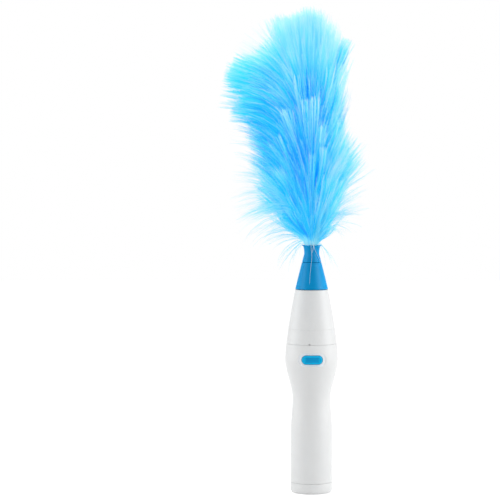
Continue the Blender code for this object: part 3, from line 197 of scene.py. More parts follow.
for name, colours, rough, grain, depth, gloss in PLASTICS:
    skinned(name, colours, rough, PLASTIC_DRIFT, grain, depth, EVEN,
            {"IOR": PLASTIC_IOR, "Specular IOR Level": gloss})
print("moulded plastics:", len(PLASTICS))

# %% [markdown]
# The works inside are drawn, stamped, turned and sintered metals, and none shows until the cap
# or the head comes off. Drawn and turned metal has fine lines along or round it, so its noise
# is stretched one way. A metal's colour is its reflection, so the base colour does the work.

# %% Metals and magnets
METALS = [
    # name, two colours, roughness, tool lines and their depth in mm, stretch
    # Contacts: warm, bright and even.
    ("bright_nickel_plate", ("c3c1bb", "d0cec8"), (0.2, 0.32), 0.6, 0.004, EVEN),
    # Screws, clip and springs: bluish and slightly cloudy.
    ("zinc_plated_steel", ("a2a6ab", "b4b8bc"), (0.28, 0.42), 0.5, 0.004, AROUND),
    # Motor can, pins and spindle: grey with streaks along them.
    ("drawn_steel", ("9a9ea3", "adb1b5"), (0.25, 0.36), 0.4, 0.004, ALONG),
    # Pinion, posts and terminals: yellow, with fine rings.
    ("turned_brass", ("c2a152", "d0b164"), (0.24, 0.36), 0.4, 0.004, AROUND),
    # Bushes: brown, open-pored and damp.
    ("oiled_sintered_bronze", ("9a6d42", "b08050"), (0.4, 0.55), 0.25, 0.02, EVEN),
    # Commutator: reddish, with streaks along it.
    ("bare_copper", ("b86f4b", "cc825e"), (0.25, 0.38), 0.4, 0.004, ALONG),
]
for name, colours, rough, lines, depth, stretch in METALS:
    skinned(name, colours, rough, lines, lines, depth, stretch, {"Metallic": 1.0})
# Magnets: a fired ceramic, dark, dull and not metallic.
skinned("barium_ferrite", ("333336", "424245"), (0.6, 0.75), 0.5, 0.5, 0.02, EVEN, {})
print("finishes so far:", len(bpy.data.materials))

# %% [markdown]
# Three finishes need a pattern of their own. The motor's core is a pack of thin steel sheets,
# 0.5 mm each, so fine rings show round it. The boards are glass cloth under green lacquer, and
# the cloth's 0.6 mm weave prints through. The cells wear a shrunk film with a metal-coloured
# band at the plus end; they are plain, as bought cells would carry somebody's name.

# %% Laminated core, boards and cell films
WAVE_LENGTH = 0.314  # of a wave texture at scale 1
LAYERED = [
    # name, colours, roughness, drift, stretch, band in mm, its axes, depth in mm, strength, metal
    ("laminated_steel_core", ("8b8f94", "a4a8ac"), (0.35, 0.5), 0.5, (1, 1, 0.2),
     0.5, "Z", 0.05, 0.6, 1.0),
    ("green_lacquered_board", ("27623a", "357a48"), (0.3, 0.42), 3, EVEN,
     0.6, "XZ", 0.02, 1.0, 0.0),
]
for name, colours, rough, drift, stretch, band, axes, depth, strength, metal in LAYERED:
    tree, shader = new_finish(name, {"Metallic": metal})
    mottled(tree, shader, colours, rough, drift, stretch)
    place = add_node(tree, "ShaderNodeTexCoord")
    relief = 0.0
    for axis in axes:
        bands = add_node(tree, "ShaderNodeTexWave",
                         {"Vector": pick(place.outputs, "Object"),
                          "Scale": WAVE_LENGTH / (band * MM)}, bands_direction=axis)
        relief = add_node(tree, "ShaderNodeMath", [bands, relief], operation="ADD")
    bump = add_node(tree, "ShaderNodeBump",
                    {"Height": relief, "Distance": depth * MM, "Strength": strength})
    tree.links.new(bump.outputs[0], shader.inputs["Normal"])


def cell_film(name, low, high):
    """Shrunk grey film with a copper-coloured band between two heights in mm."""
    tree, shader = new_finish(name)
    mottled(tree, shader, ("565b62", "62676e"), (0.25, 0.35), 6)
    place = add_node(tree, "ShaderNodeTexCoord")
    height = add_node(tree, "ShaderNodeSeparateXYZ", [pick(place.outputs, "Object")])
    inside = add_node(tree, "ShaderNodeMath",
                      [height.outputs[2], (low + high) / 2 * MM, (high - low) / 2 * MM],
                      operation="COMPARE")
    grey = shader.inputs["Base Color"].links[0].from_socket
    mix = add_node(tree, "ShaderNodeMix", {"Factor_Float": inside, "A_Color": grey,
                                           "B_Color": linear("b5794a")}, data_type="RGBA")
    tree.links.new(pick(mix.outputs, "Result_Color"), shader.inputs["Base Color"])


CELL_BAND, CELL_END = 9.0, 1.5
films = {}
for name in sorted(nodes):
    if name.startswith("battery_cell"):
        band_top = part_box(name)[1].z / MM - CELL_END
        cell_film(name + "_film", band_top - CELL_BAND, band_top)
        films[name + "_film"] = name
print("cell films:", len(films))

# %% [markdown]
# Each solid that stays visible in some pose now gets its finish. The table says which is which,
# and the loop fills the solid's material slots without touching its mesh.

# %% Dress the inner solids
FINISHES = {
    "black_glass_filled_nylon": ("battery_divider switch_body bearing_plate motor_end_bell "
                                 "tail_contact_disc"),
    "natural_acetal": "idler_gear output_gear drive_socket switch_plunger head_stem",
    "bright_nickel_plate": ("tail_bridge_strip tail_contact_spring head_contact_spring "
                            "head_contact_plate head_spring_plate"),
    "zinc_plated_steel": ("motor_plate disc_screw motor_screw_1 motor_screw_2 gearbox_screw_1 "
                          "gearbox_screw_2 gearbox_screw_3 spindle_clip"),
    "drawn_steel": "motor_can motor_shaft idler_pin output_spindle",
    "laminated_steel_core": "armature",
    "turned_brass": ("motor_pinion gearbox_post_1 gearbox_post_2 gearbox_post_3 "
                     "motor_terminal_left motor_terminal_right"),
    "oiled_sintered_bronze": "lower_bush upper_bush",
    "bare_copper": "commutator",
    "barium_ferrite": "motor_magnet_front motor_magnet_back",
    "green_lacquered_board": "head_contact_board switch_board",
    "red_pvc_cover": "motor_lead_red",
    "black_pvc_cover": "motor_lead_black",
    **films,
}
for finish_name, names in FINISHES.items():
    for name in names.split():
        slots = nodes[name].data.materials
        if not len(slots):
            slots.append(bpy.data.materials[finish_name])
        for i in range(len(slots)):
            slots[i] = bpy.data.materials[finish_name]
print("dressed:", sum(len(names.split()) for names in FINISHES.values()))

# %% [markdown]
# The handle, cap, cone and collar are turned forms, so each is drawn as a half section, a closed
# line of (radius, height) points, and spun round the axis. Moulded edges are never sharp: a point
# with a third number has its corner rounded by that radius before the spin. 144 sides keep the
# outline smooth at any zoom that the part is seen at.

# %% Turn a section into a shell
SIDES = 144
ARC_POINTS = 4
LONGEST_ROUND = 0.45  # of the shorter side at a corner
CREASE = 32


def rounded(section):
    """The section with its marked corners cut to short arcs."""
    line = []
    for i, point in enumerate(section):
        here = np.array(point[:2], float)
        if len(point) < 3:
            line.append(here)
            continue
        before, after = (np.array(section[(i + s) % len(section)][:2], float) for s in (-1, 1))
        back, on = before - here, after - here
        run = min(point[2], *(LONGEST_ROUND * np.linalg.norm(side) for side in (back, on)))
        start = here + back / np.linalg.norm(back) * run
        end = here + on / np.linalg.norm(on) * run
        for t in np.linspace(0, 1, ARC_POINTS + 1):
            line.append(start * (1 - t) ** 2 + here * 2 * t * (1 - t) + end * t ** 2)
    return line


def new_object(name, data):
    """An object in the scene that holds this mesh, lamp or camera."""
    made = bpy.data.objects.new(name, data)
    bpy.context.scene.collection.objects.link(made)
    return made


def finish_mesh(name, shape, finish_name, crease=CREASE):
    """Turn a bmesh into an object that is smooth but for its real edges."""
    bmesh.ops.recalc_face_normals(shape, faces=shape.faces)
    mesh = bpy.data.meshes.new(name)
    shape.to_mesh(mesh)
    shape.free()
    mesh.polygons.foreach_set("use_smooth", [True] * len(mesh.polygons))
    mesh.set_sharp_from_angle(angle=math.radians(crease))
    mesh.materials.append(bpy.data.materials[finish_name])
    return new_object(name, mesh)


def add_ring(shape, points):
    """New vertices at these points, in mm."""
    return [shape.verts.new([c * MM for c in point]) for point in points]


def turns(count):
    """The angles of so many points round a circle."""
    return [2 * math.pi * i / count for i in range(count)]


def bridge(shape, rings):
    """Faces from each ring to the next. A ring of one point is a pole."""
    for lower, upper in zip(rings, rings[1:]):
        for i in range(max(len(lower), len(upper))):
            corners = [lower[i % len(lower)], lower[(i + 1) % len(lower)],
                       upper[(i + 1) % len(upper)], upper[i % len(upper)]]
            corners = list(dict.fromkeys(corners))
            if len(corners) > 2:
                shape.faces.new(corners)


def turned(name, section, finish_name, sides=SIDES, crease=CREASE):
    """Spin a closed section, in mm, round the axis."""
    shape = bmesh.new()
    rings = []
    for radius, height in rounded(section):
        places = [(radius * math.cos(a), radius * math.sin(a), height) for a in turns(sides)]
        rings.append(add_ring(shape, [(0, 0, height)] if radius < 1e-6 else places))
    bridge(shape, rings + rings[:1])
    return finish_mesh(name, shape, finish_name, crease)


def stand_for(piece, node_names, body):
    """Ride on the body and take the place of the nodes, if any."""
    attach(piece, body)
    if node_names:
        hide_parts(*node_names.split())
    print(piece.name, "faces:", len(piece.data.polygons))
    return piece


# %% [markdown]
# The cap is a shallow cup that screws into the grip. Its lower edge has a 3 mm round, which is
# the shaded line at the foot of the duster, and its spigot reaches 5 mm up inside the grip.
# A gap of 0.18 mm between cap and grip is the faint seam one sees just above the foot. The
# ring's two seams are finer still.

# %% Screw cap
GRIP_RADIUS = 19.3
WALL = 2.0
SEAT_GAP = 0.3
CAP_SEAM, RING_SEAM, NOSE_SEAM = 0.18, 0.14, 0.06
CAP_HEIGHT, CAP_FLOOR, CAP_EDGE = 9.5, 2.4, 3.0
EDGE_POINTS = 9
CELLS_BORE, SPIGOT_RISE = 15.5, 5.0
BOSS_RADIUS, BOSS_TOP, BOSS_HOLE = 2.0, 4.6, 1.1
spigot_top = CAP_HEIGHT + SPIGOT_RISE
spigot = GRIP_RADIUS - WALL - SEAT_GAP
edge_centre = GRIP_RADIUS - CAP_EDGE
edge_arc = [(edge_centre + CAP_EDGE * math.cos(a), CAP_EDGE - CAP_EDGE * math.sin(a))
            for a in np.linspace(0, math.pi / 2, EDGE_POINTS)]
section = [
    (0, CAP_FLOOR / 2), (BOSS_HOLE, CAP_FLOOR / 2), (BOSS_HOLE, BOSS_TOP, 0.2),
    (BOSS_RADIUS, BOSS_TOP, 0.3), (BOSS_RADIUS, CAP_FLOOR, 0.4), (CELLS_BORE, CAP_FLOOR, 0.6),
    (CELLS_BORE, spigot_top, 0.3), (spigot, spigot_top, 0.4), (spigot, CAP_HEIGHT, 0.1),
    (GRIP_RADIUS, CAP_HEIGHT, 0.15),
] + edge_arc + [(0, 0)]
cap_shell = turned("cap_shell", section, "white_abs_trim")
stand_for(cap_shell, "base_cap", "cap")

# %% [markdown]
# The handle's outline is straight over the cells, draws in to a waist for the thumb, swells to
# its widest at the button, and tapers in a full curve to the nose. The same curve runs on
# through grip, ring and nose, so it is one function of the height.

# %% The handle's outline
STRAIGHT_TOP, WAIST_Z, BULGE_Z, NOSE_TOP = 56.0, 86.0, 123.5, 187.0
WAIST_RADIUS, BULGE_RADIUS, NOSE_TOP_RADIUS = 17.5, 24.4, 15.05
TAPER_POWER = 1.4
OUTLINE_STEP = 1.5


def eased(t):
    """A share from 0 to 1 that starts and ends gently."""
    return t * t * (3 - 2 * t)


def handle_radius(z):
    """Outer radius of the handle at a height, in mm."""
    if z <= STRAIGHT_TOP:
        return GRIP_RADIUS
    if z <= WAIST_Z:
        share = eased((z - STRAIGHT_TOP) / (WAIST_Z - STRAIGHT_TOP))
        return GRIP_RADIUS + (WAIST_RADIUS - GRIP_RADIUS) * share
    if z <= BULGE_Z:
        share = eased((z - WAIST_Z) / (BULGE_Z - WAIST_Z))
        return WAIST_RADIUS + (BULGE_RADIUS - WAIST_RADIUS) * share
    share = ((z - BULGE_Z) / (NOSE_TOP - BULGE_Z)) ** TAPER_POWER
    return BULGE_RADIUS + (NOSE_TOP_RADIUS - BULGE_RADIUS) * share


def outline(low, high, step=OUTLINE_STEP, inset=0.0):
    """Points on the handle's outline from low to high, or back down if high is below."""
    count = max(2, round(abs(high - low) / step) + 1)
    return [(handle_radius(z) - inset, z) for z in np.linspace(low, high, count)]


print("widest (mm):", 2 * handle_radius(BULGE_Z), "waist (mm):", 2 * handle_radius(WAIST_Z))

# %% [markdown]
# A pill is the outline of the button, its slot and its recess: two straight sides and two round
# ends. The pills are lofted from back to front through (half length, half height, distance from
# the axis) and bent to the round of the handle, as the real recess is, so that its depth is the
# same all along.

# %% Pills
PILL_ARC, PILL_FLAT, PILL_CREASE = 14, 6, 40


def pill_outline(half_length, half_height):
    """From the right tip over the top and back underneath."""
    straight = half_length - half_height
    arc = np.linspace(0, math.pi / 2, PILL_ARC + 1)[:-1]
    end = [(straight + half_height * math.cos(a), half_height * math.sin(a)) for a in arc]
    middle = [(x, half_height) for x in np.linspace(straight, -straight, PILL_FLAT + 1)]
    upper = end + middle + [(-x, z) for x, z in reversed(end[1:])]
    return upper + [(-x, -z) for x, z in upper]


def pill(name, sections, height, finish_name):
    """Loft a pill in the front wall, its middle at this height."""
    shape = bmesh.new()
    rings = []
    for half_length, half_height, distance in sections:
        rings.append(add_ring(shape, [
            (x, BULGE_RADIUS - math.sqrt(BULGE_RADIUS ** 2 - x ** 2) - distance, z + height)
            for x, z in pill_outline(half_length, half_height)]))
    bridge(shape, rings)
    for ring in (rings[0], rings[-1]):
        half = len(ring) // 2
        shape.faces.new((ring[0], ring[1], ring[-1]))
        shape.faces.new((ring[half - 1], ring[half], ring[half + 1]))
        for i in range(1, half - 1):
            shape.faces.new((ring[i], ring[i + 1], ring[-i - 1], ring[-i]))
    return finish_mesh(name, shape, finish_name, PILL_CREASE)


def settle(piece, modifier):
    """Keep what the modifier makes as the piece's own plain mesh."""
    bpy.context.view_layer.update()
    seen = piece.evaluated_get(bpy.context.evaluated_depsgraph_get())
    result = bpy.data.meshes.new_from_object(seen)
    piece.modifiers.remove(modifier)
    spare, piece.data = piece.data, result
    bpy.data.meshes.remove(spare)


def carve(target, cutter):
    """Cut one mesh out of another, give the cut its finish and throw the cutter away."""
    cutting = target.modifiers.new("cut", "BOOLEAN")
    cutting.operation, cutting.solver, cutting.object = "DIFFERENCE", "EXACT", cutter
    cutting.material_mode = "TRANSFER"
    settle(target, cutting)
    bpy.data.objects.remove(cutter)
    target.data.set_sharp_from_angle(angle=math.radians(CREASE))


# %% [markdown]
# The grip is one long moulding. Its section runs up the outside, over the tongue that the ring
# and the nose fit on, and down the bore. The button sits in a shallow pill-shaped recess whose
# sides slope in over 1.4 mm and whose rim is rounded, so that light runs softly over it. The
# cutters' steps are (how far inside the rim, distance from the recess's floor).

# %% Grip with its recess and slot
SEAM_Z = 137.4
TONGUE_TOP, TONGUE_RADIUS, TONGUE_BORE = 144.15, 19.86, 17.86
BORE_TOP, BORE_STEP = SEAM_Z - 6.0, 3
BUTTON_Z = 124.0
RECESS_LENGTH, RECESS_HEIGHT, RECESS_SLOPE, RECESS_DEPTH = 13.2, 6.4, 1.4, 1.0
BUTTON_LENGTH, BUTTON_HEIGHT, BUTTON_GAP = 9.45, 3.9, 0.3
grip_bottom = CAP_HEIGHT + CAP_SEAM
section = (
    [(TONGUE_BORE, TONGUE_TOP, 0.3), (TONGUE_RADIUS, TONGUE_TOP, 0.3),
     (TONGUE_RADIUS, SEAM_Z, 0.2), (handle_radius(SEAM_Z), SEAM_Z, 0.15)]
    + outline(SEAM_Z - 0.8, STRAIGHT_TOP)
    + [(GRIP_RADIUS, grip_bottom, 0.15), (GRIP_RADIUS - WALL, grip_bottom, 0.25)]
    + outline(STRAIGHT_TOP, BORE_TOP, BORE_STEP, WALL)
    + [(TONGUE_BORE, SEAM_Z - 1.5)]
)
grip_shell = turned("grip_shell", section, "satin_white_abs")
recess_floor = BULGE_RADIUS - RECESS_DEPTH
slope = [(RECESS_SLOPE, 0), (RECESS_SLOPE - 0.35, 0.10), (RECESS_SLOPE - 0.7, 0.38),
         (0.35, 0.74), (0.1, 0.92), (-0.15, 1.01), (-0.6, 1.10), (-0.6, 2.2)]
slot_rim = [(0, -WALL - 1), (0, -0.25), (-0.08, -0.08), (-0.25, 0), (-0.25, 2)]
# The recess's faces take a white painted brighter than the casing, which is a painted highlight.
for name, length, height, steps, finish_name in (
        ("recess_cutter", RECESS_LENGTH, RECESS_HEIGHT, slope, "recess_white_abs_painted_highlight"),
        ("slot_cutter", BUTTON_LENGTH + BUTTON_GAP, BUTTON_HEIGHT + BUTTON_GAP, slot_rim,
         "satin_white_abs")):
    carve(grip_shell, pill(name, [(length - i, height - i, recess_floor + d) for i, d in steps],
                           BUTTON_Z, finish_name))
stand_for(grip_shell, "grip_housing", "handset")

# %% [markdown]
# The button is a pill of a lighter, glossier blue. Its face has a soft edge, a narrow rim painted
# lighter as a painted highlight, and a shallow dish for the fingertip painted deeper as painted
# shade. Behind the wall it has a flange, so that its spring can't push it out. Its steps run from
# the flange to the dish, as (how far inside the outline, distance from the axis).

# %% Push button
face = BULGE_RADIUS + 0.3
flange_front = BULGE_RADIUS - WALL - 1.0
button_steps = [
    (-1.3, flange_front - 1.4), (-1.3, flange_front), (0, flange_front),
    (0, face - 0.9), (0.06, face - 0.6), (0.24, face - 0.33), (0.5, face - 0.13),
    (0.85, face - 0.02), (1.1, face), (1.3, face - 0.03), (1.6, face - 0.2),
    (1.9, face - 0.4), (2.2, face - 0.45),
]
button_shell = pill("button_shell",
                    [(BUTTON_LENGTH - i, BUTTON_HEIGHT - i, d) for i, d in button_steps],
                    BUTTON_Z, "rim_blue_abs_painted_highlight")
button_shell.data.materials.append(bpy.data.materials["dish_blue_abs_painted_shade"])
DISH_INSET, FACE_DEPTH = 1.59, 1.2
dish_length, dish_height = BUTTON_LENGTH - DISH_INSET, BUTTON_HEIGHT - DISH_INSET
# Faces in the dish take the deeper blue, which is painted shade.
for facet in button_shell.data.polygons:
    x, y, z = facet.center / MM
    past_straight = max(abs(x) - (dish_length - dish_height), 0)
    if y < -face + FACE_DEPTH and math.hypot(past_straight, z - BUTTON_Z) < dish_height:
        facet.material_index = 1
stand_for(button_shell, "push_button", "button")

# %% [markdown]
# A small coil spring behind the button pushes it back out. It is the one piece that changes its
# length: as the button goes in by 1.8 mm, the spring is pressed together by as much against the
# switch behind it. A coil is the round section of the wire, carried along a helix.

# %% Button spring
COIL_FRONT, COIL_BACK, COIL_RADIUS, COIL_WIRE = 19.38, 14.7, 2.6, 0.3
COIL_TURNS, TURN_STEPS, WIRE_SIDES, COIL_CREASE = 3, 24, 8, 50
shape = bmesh.new()
rings = []
for share in np.linspace(0, 1, COIL_TURNS * TURN_STEPS + 1):
    turn = 2 * math.pi * COIL_TURNS * share
    depth = COIL_BACK + COIL_WIRE + (COIL_FRONT - COIL_BACK - 2 * COIL_WIRE) * share
    wire = [(COIL_RADIUS + COIL_WIRE * math.cos(a), depth + COIL_WIRE * math.sin(a))
            for a in turns(WIRE_SIDES)]
    rings.append(add_ring(shape, [(radius * math.cos(turn), -back,
                                   BUTTON_Z + radius * math.sin(turn)) for radius, back in wire]))
bridge(shape, rings)
shape.faces.new(rings[0])
shape.faces.new(rings[-1])
button_coil = finish_mesh("button_coil", shape, "zinc_plated_steel", COIL_CREASE)
stand_for(button_coil, "button_spring", "handset")
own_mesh(button_coil)

# %% [markdown]
# The shoulder ring covers the joint of grip and nose. Only a faint line marks its upper edge,
# and a clearer one its lower edge, where a small notch in front lets a blade in to open the
# handle. The nose carries the gearbox, and its bore is stepped for the plates that seat in it.

# %% Shoulder ring and nose
RING_BOTTOM, RING_TOP, RING_BORE = SEAM_Z + RING_SEAM, 151.15, 20.16
section = ([(RING_BORE, RING_BOTTOM, 0.2), (RING_BORE, RING_TOP, 0.1),
            (handle_radius(RING_TOP), RING_TOP, 0.06)]
           + outline(RING_TOP - 0.4, RING_BOTTOM + 0.5)
           + [(handle_radius(RING_BOTTOM), RING_BOTTOM, 0.15)])
ring_shell = turned("ring_shell", section, "white_abs_trim")
NOTCH_X, NOTCH_HALF, NOTCH_UP, NOTCH_DOWN = -2.6, 0.9, 0.9, -1.0
NOTCH_FRONT, NOTCH_BACK = -25.0, -20.8
shape = bmesh.new()
bmesh.ops.create_cube(shape, size=1.0)
for vert in shape.verts:
    vert.co.x = (NOTCH_X + NOTCH_HALF * (1 if vert.co.x > 0 else -1)) * MM
    vert.co.y = (NOTCH_FRONT if vert.co.y < 0 else NOTCH_BACK) * MM
    vert.co.z = (RING_BOTTOM + (NOTCH_UP if vert.co.z > 0 else NOTCH_DOWN)) * MM
carve(ring_shell, finish_mesh("notch_cutter", shape, "white_abs_trim"))
stand_for(ring_shell, "shoulder_ring", "handset")

NOSE_FOOT = RING_TOP + NOSE_SEAM
BUSH_HOLE, TONGUE_SEAT = 5.0, 144.45
NOSE_BORE = [  # (radius, height) from the plates' seats up to the bush
    (16.37, 166.7), (16.37, 170.2), (15.8, 170.2), (15.8, 174.3), (14.3, 178.5), (14.3, 180.8),
    (6.6, 180.8), (6.6, 185.0), (BUSH_HOLE, 185.0),
]
section = [
    (BUSH_HOLE, NOSE_TOP, 0.2), (NOSE_TOP_RADIUS, NOSE_TOP, 0.5),
] + outline(NOSE_TOP - 1.2, NOSE_FOOT + 0.3) + [
    (handle_radius(NOSE_FOOT), NOSE_FOOT, 0.06), (TONGUE_RADIUS, NOSE_FOOT),
    (TONGUE_RADIUS, TONGUE_SEAT, 0.3), (TONGUE_BORE, TONGUE_SEAT, 0.3), (TONGUE_BORE, NOSE_FOOT),
] + NOSE_BORE
nose_shell = turned("nose_shell", section, "satin_white_abs")
stand_for(nose_shell, "nose_housing", "handset")

# %% [markdown]
# The head starts with a blue cone that skirts the spindle, and a collar that grips the plume.
# The collar flares to a lip above, and below it widens to a band 1.5 mm high. The gap of 0.3 mm
# under that band is the thin dark line between collar and cone.

# %% Cone and collar
CONE_Z, CONE_TOP, CONE_FOOT_RADIUS, CONE_TOP_RADIUS = 187.5, 211.8, 15.1, 9.0
CONE_WALL, STEM_BORE = 1.5, 3.5
SOCKET, HUB, HUB_BOTTOM, CEILING = 5.35, 6.95, 188.6, 208.3
inside_top = CEILING - CONE_WALL
lean = (CONE_FOOT_RADIUS - CONE_TOP_RADIUS) / (CONE_TOP - CONE_Z)
inside_radius = CONE_FOOT_RADIUS - lean * (inside_top - CONE_Z) - CONE_WALL
section = [
    (STEM_BORE, CONE_TOP), (CONE_TOP_RADIUS, CONE_TOP, 0.35), (CONE_FOOT_RADIUS, CONE_Z, 0.3),
    (CONE_FOOT_RADIUS - CONE_WALL, CONE_Z, 0.3), (inside_radius, inside_top, 1.2),
    (HUB, inside_top, 0.6), (HUB, HUB_BOTTOM, 0.3), (SOCKET, HUB_BOTTOM, 0.3),
    (SOCKET, CEILING), (STEM_BORE, CEILING),
]
cone_shell = turned("cone_shell", section, "satin_blue_abs")
stand_for(cone_shell, "head_cone", "head")

COLLAR_Z, COLLAR_TOP, NECK_RADIUS, LIP_RADIUS, LIP_WALL = 212.1, 228.0, 6.9, 8.5, 0.8
FOOT_RADIUS, FOOT_TOP, BAND_STEP, NECK_Z, MOUTH_Z = 8.7, 213.6, 0.4, 220.05, 218.8
flare = [(NECK_RADIUS + (LIP_RADIUS - NECK_RADIUS) * s * s, NECK_Z + (COLLAR_TOP - NECK_Z) * s)
         for s in np.linspace(0.9, 0, 8)]
foot_curve = [(NECK_RADIUS + (FOOT_RADIUS - BAND_STEP - NECK_RADIUS) * eased(s),
               NECK_Z + (FOOT_TOP - NECK_Z) * s) for s in np.linspace(0.15, 1, 7)]
section = ([(LIP_RADIUS - LIP_WALL, COLLAR_TOP, 0.25), (LIP_RADIUS, COLLAR_TOP, 0.3)] + flare
           + foot_curve
           + [(FOOT_RADIUS, FOOT_TOP, 0.35), (FOOT_RADIUS, COLLAR_Z, 0.25), (STEM_BORE, COLLAR_Z),
              (STEM_BORE, MOUTH_Z), (NECK_RADIUS - LIP_WALL, MOUTH_Z + LIP_WALL, 0.3)]
           + [(r - LIP_WALL, z) for r, z in reversed(flare[:-1])])
collar_shell = turned("collar_shell", section, "satin_blue_abs")

# %% [markdown]
# The collar's lip is thin and was pressed round the plume, so it is no true circle. It waves in
# and out, its edge runs up and down, and seven small burrs stand off it. All of this is added to
# the turned mesh by the angle about the axis, and grows from nothing at the neck to the lip.

# %% The collar's crinkled lip
# Waves as (size in mm, how many go round, where they start).
FOLDS, EDGE_WAVES = ((0.16, 9, 1), (0.10, 17, 2)), ((0.22, 13, 0), (0.16, 29, 1))
LIP_CLOSED, CRINKLE_START, OPEN_POWER = 0.4, 0.5, 1.5
BURRS, BURR_OUT, BURR_SPREAD, BURR_BAND = (-8, 7, 96, 171, 186, 262, 301), 1.1, 8, 0.6
for vert in collar_shell.data.vertices:
    up = vert.co.z / MM - NECK_Z
    if up < CRINKLE_START:
        continue
    turn = math.atan2(vert.co.y, vert.co.x)
    open_share = (up / (COLLAR_TOP - NECK_Z)) ** OPEN_POWER
    fold, edge = (sum(size * math.sin(count * turn + start) for size, count, start in waves)
                  for waves in (FOLDS, EDGE_WAVES))
    off_burr = [(math.degrees(turn) - at + 180) % 360 - 180 for at in BURRS]
    burr = sum(BURR_OUT * math.exp(-angle ** 2 / BURR_SPREAD) for angle in off_burr)
    burr *= up > COLLAR_TOP - NECK_Z - BURR_BAND
    out = 1 + open_share * (fold - LIP_CLOSED + burr) / LIP_RADIUS
    drop = open_share ** 3 * (edge - LIP_CLOSED) * MM
    vert.co = (vert.co.x * out, vert.co.y * out, vert.co.z + drop)
stand_for(collar_shell, "neck_collar", "head")

# %% [markdown]
# The plume is the heart of the duster: thousands of crimped synthetic fibres, each about
# 0.15 mm thick, bound to the stem in tufts. They leave the stem steeply, bend outwards, and
# their ends are cut square, tuft by tuft. Fibres are drawn here a little thicker than real so
# that they show at all. A guide is the middle line of one tuft, drawn as a cubic curve from its
# root on the stem to its tip. Its tip lies on the plume's outline, which is wider to the left
# than to the right, as a used plume that has been brushed to one side.

# %% The plume's outline
# Reach of the fibre ends to the left, to the right and to front or back, by height, in mm.
REACH_HEIGHTS = [232, 241, 254, 267, 286, 299, 312, 331, 344, 364, 383, 396, 409, 421, 434, 443]
REACH_LEFT = [6, 11, 27, 41, 50, 56, 59, 66, 76, 84, 84, 75, 52, 45, 43, 38]
REACH_RIGHT = [6, 10, 17, 22, 27, 34, 44, 38, 31, 29, 29, 29, 29, 26, 19, 14]
REACH_DEPTH = [8, 18, 33, 42, 46, 48, 49, 50, 50, 50, 48, 45, 42, 38, 32, 24]


def reach(height, turn):
    """How far the plume reaches at a height, in the direction of a turn about the axis."""
    left, right, depth = (np.interp(height, REACH_HEIGHTS, side)
                          for side in (REACH_LEFT, REACH_RIGHT, REACH_DEPTH))
    along, across = math.cos(turn), math.sin(turn)
    side = right if along > 0 else left
    return 1 / math.hypot(along / side, across / depth)


STEM_FACE, ROOT_BOTTOM, ROOT_TOP, ROOT_SLANT = 4.0, 224.0, 416.0, 0.10
GUIDE_POINTS = 7
FIRST_BEND, LAST_BEND = 0.38, 0.36


def guide_line(turn, root_z, tip, tip_rise, first_bend=FIRST_BEND):
    """A tuft's middle line, in mm, from the stem to its tip, which points up by tip_rise."""
    root = np.array([STEM_FACE * math.cos(turn), STEM_FACE * math.sin(turn), root_z])
    tip = np.array(tip, float)
    out = math.atan2(tip[1] - root[1], tip[0] - root[0])
    length = np.linalg.norm(tip - root)
    start = np.array([ROOT_SLANT * math.cos(out), ROOT_SLANT * math.sin(out), 1.0])
    end = np.array([math.cos(out) * math.cos(tip_rise), math.sin(out) * math.cos(tip_rise),
                    math.sin(tip_rise)])
    one, two = root + start * length * first_bend, tip - end * length * LAST_BEND
    t = np.linspace(0, 1, GUIDE_POINTS)[:, None]
    return (root * (1 - t) ** 3 + one * 3 * t * (1 - t) ** 2 + two * 3 * t ** 2 * (1 - t)
            + tip * t ** 3)


print("reach at 370 mm, left and right:", reach(370, math.pi), reach(370, 0))

# %% [markdown]
# Each tuft has a tone, from 0, the deepest blue, to 1, the palest. Tufts are painted paler at the
# top and on the right, and more so low on the right, as painted light, and deeper at the left of
# the middle as painted shade. Within a tuft, streaks of fibres differ by its contrast: strongly in
# the middle of the plume, and little at the top, in the left lobe and in the darkest tufts.

# %% Tone and contrast of a tuft
# Painted light raises the tone at the top and on the right; painted shade lowers it at the left.
MIDDLE_TONE, TOP_PAINTED_LIGHT, RIGHT_PAINTED_LIGHT, LOW_RIGHT_PAINTED_LIGHT, LEFT_PAINTED_SHADE = 0.42, 0.45, 0.26, 0.27, 0.12
TOP_LIGHT_HEIGHTS, RIGHT_LIGHT_X = (365, 440), (-4, 26)
LOW_RIGHT_TOP, LEFT_PAINTED_SHADE_WIDTH, LEFT_PAINTED_SHADE_HEIGHTS = 340, 60, (315, 350)
CONTRAST_BY_HEIGHT = [270, 320, 385, 415, 438], [0.5, 0.92, 0.92, 0.32, 0.06]
CONTRAST_BY_X = [-75, -45], [0.4, 1.0]
CONTRAST_BY_TONE = [0, 0.3], [0.2, 1.0]
guides = []


def share_of(value, low, high):
    """How far a value has come from low to high, from 0 to 1."""
    return min(max((value - low) / (high - low), 0), 1)


def place_tone(tip):
    """A tuft's tone by the place of its tip, with painted light at the top and right and painted
    shade at the left.
    """
    x, _, z = tip
    top = TOP_PAINTED_LIGHT * eased(share_of(z, *TOP_LIGHT_HEIGHTS))
    right = RIGHT_PAINTED_LIGHT * share_of(x, *RIGHT_LIGHT_X)
    low_right = LOW_RIGHT_PAINTED_LIGHT * (x > 0 and z < LOW_RIGHT_TOP)
    left = LEFT_PAINTED_SHADE * share_of(-x, 0, LEFT_PAINTED_SHADE_WIDTH)
    return (MIDDLE_TONE + top + right + low_right
            - left * (LEFT_PAINTED_SHADE_HEIGHTS[0] < z < LEFT_PAINTED_SHADE_HEIGHTS[1]))


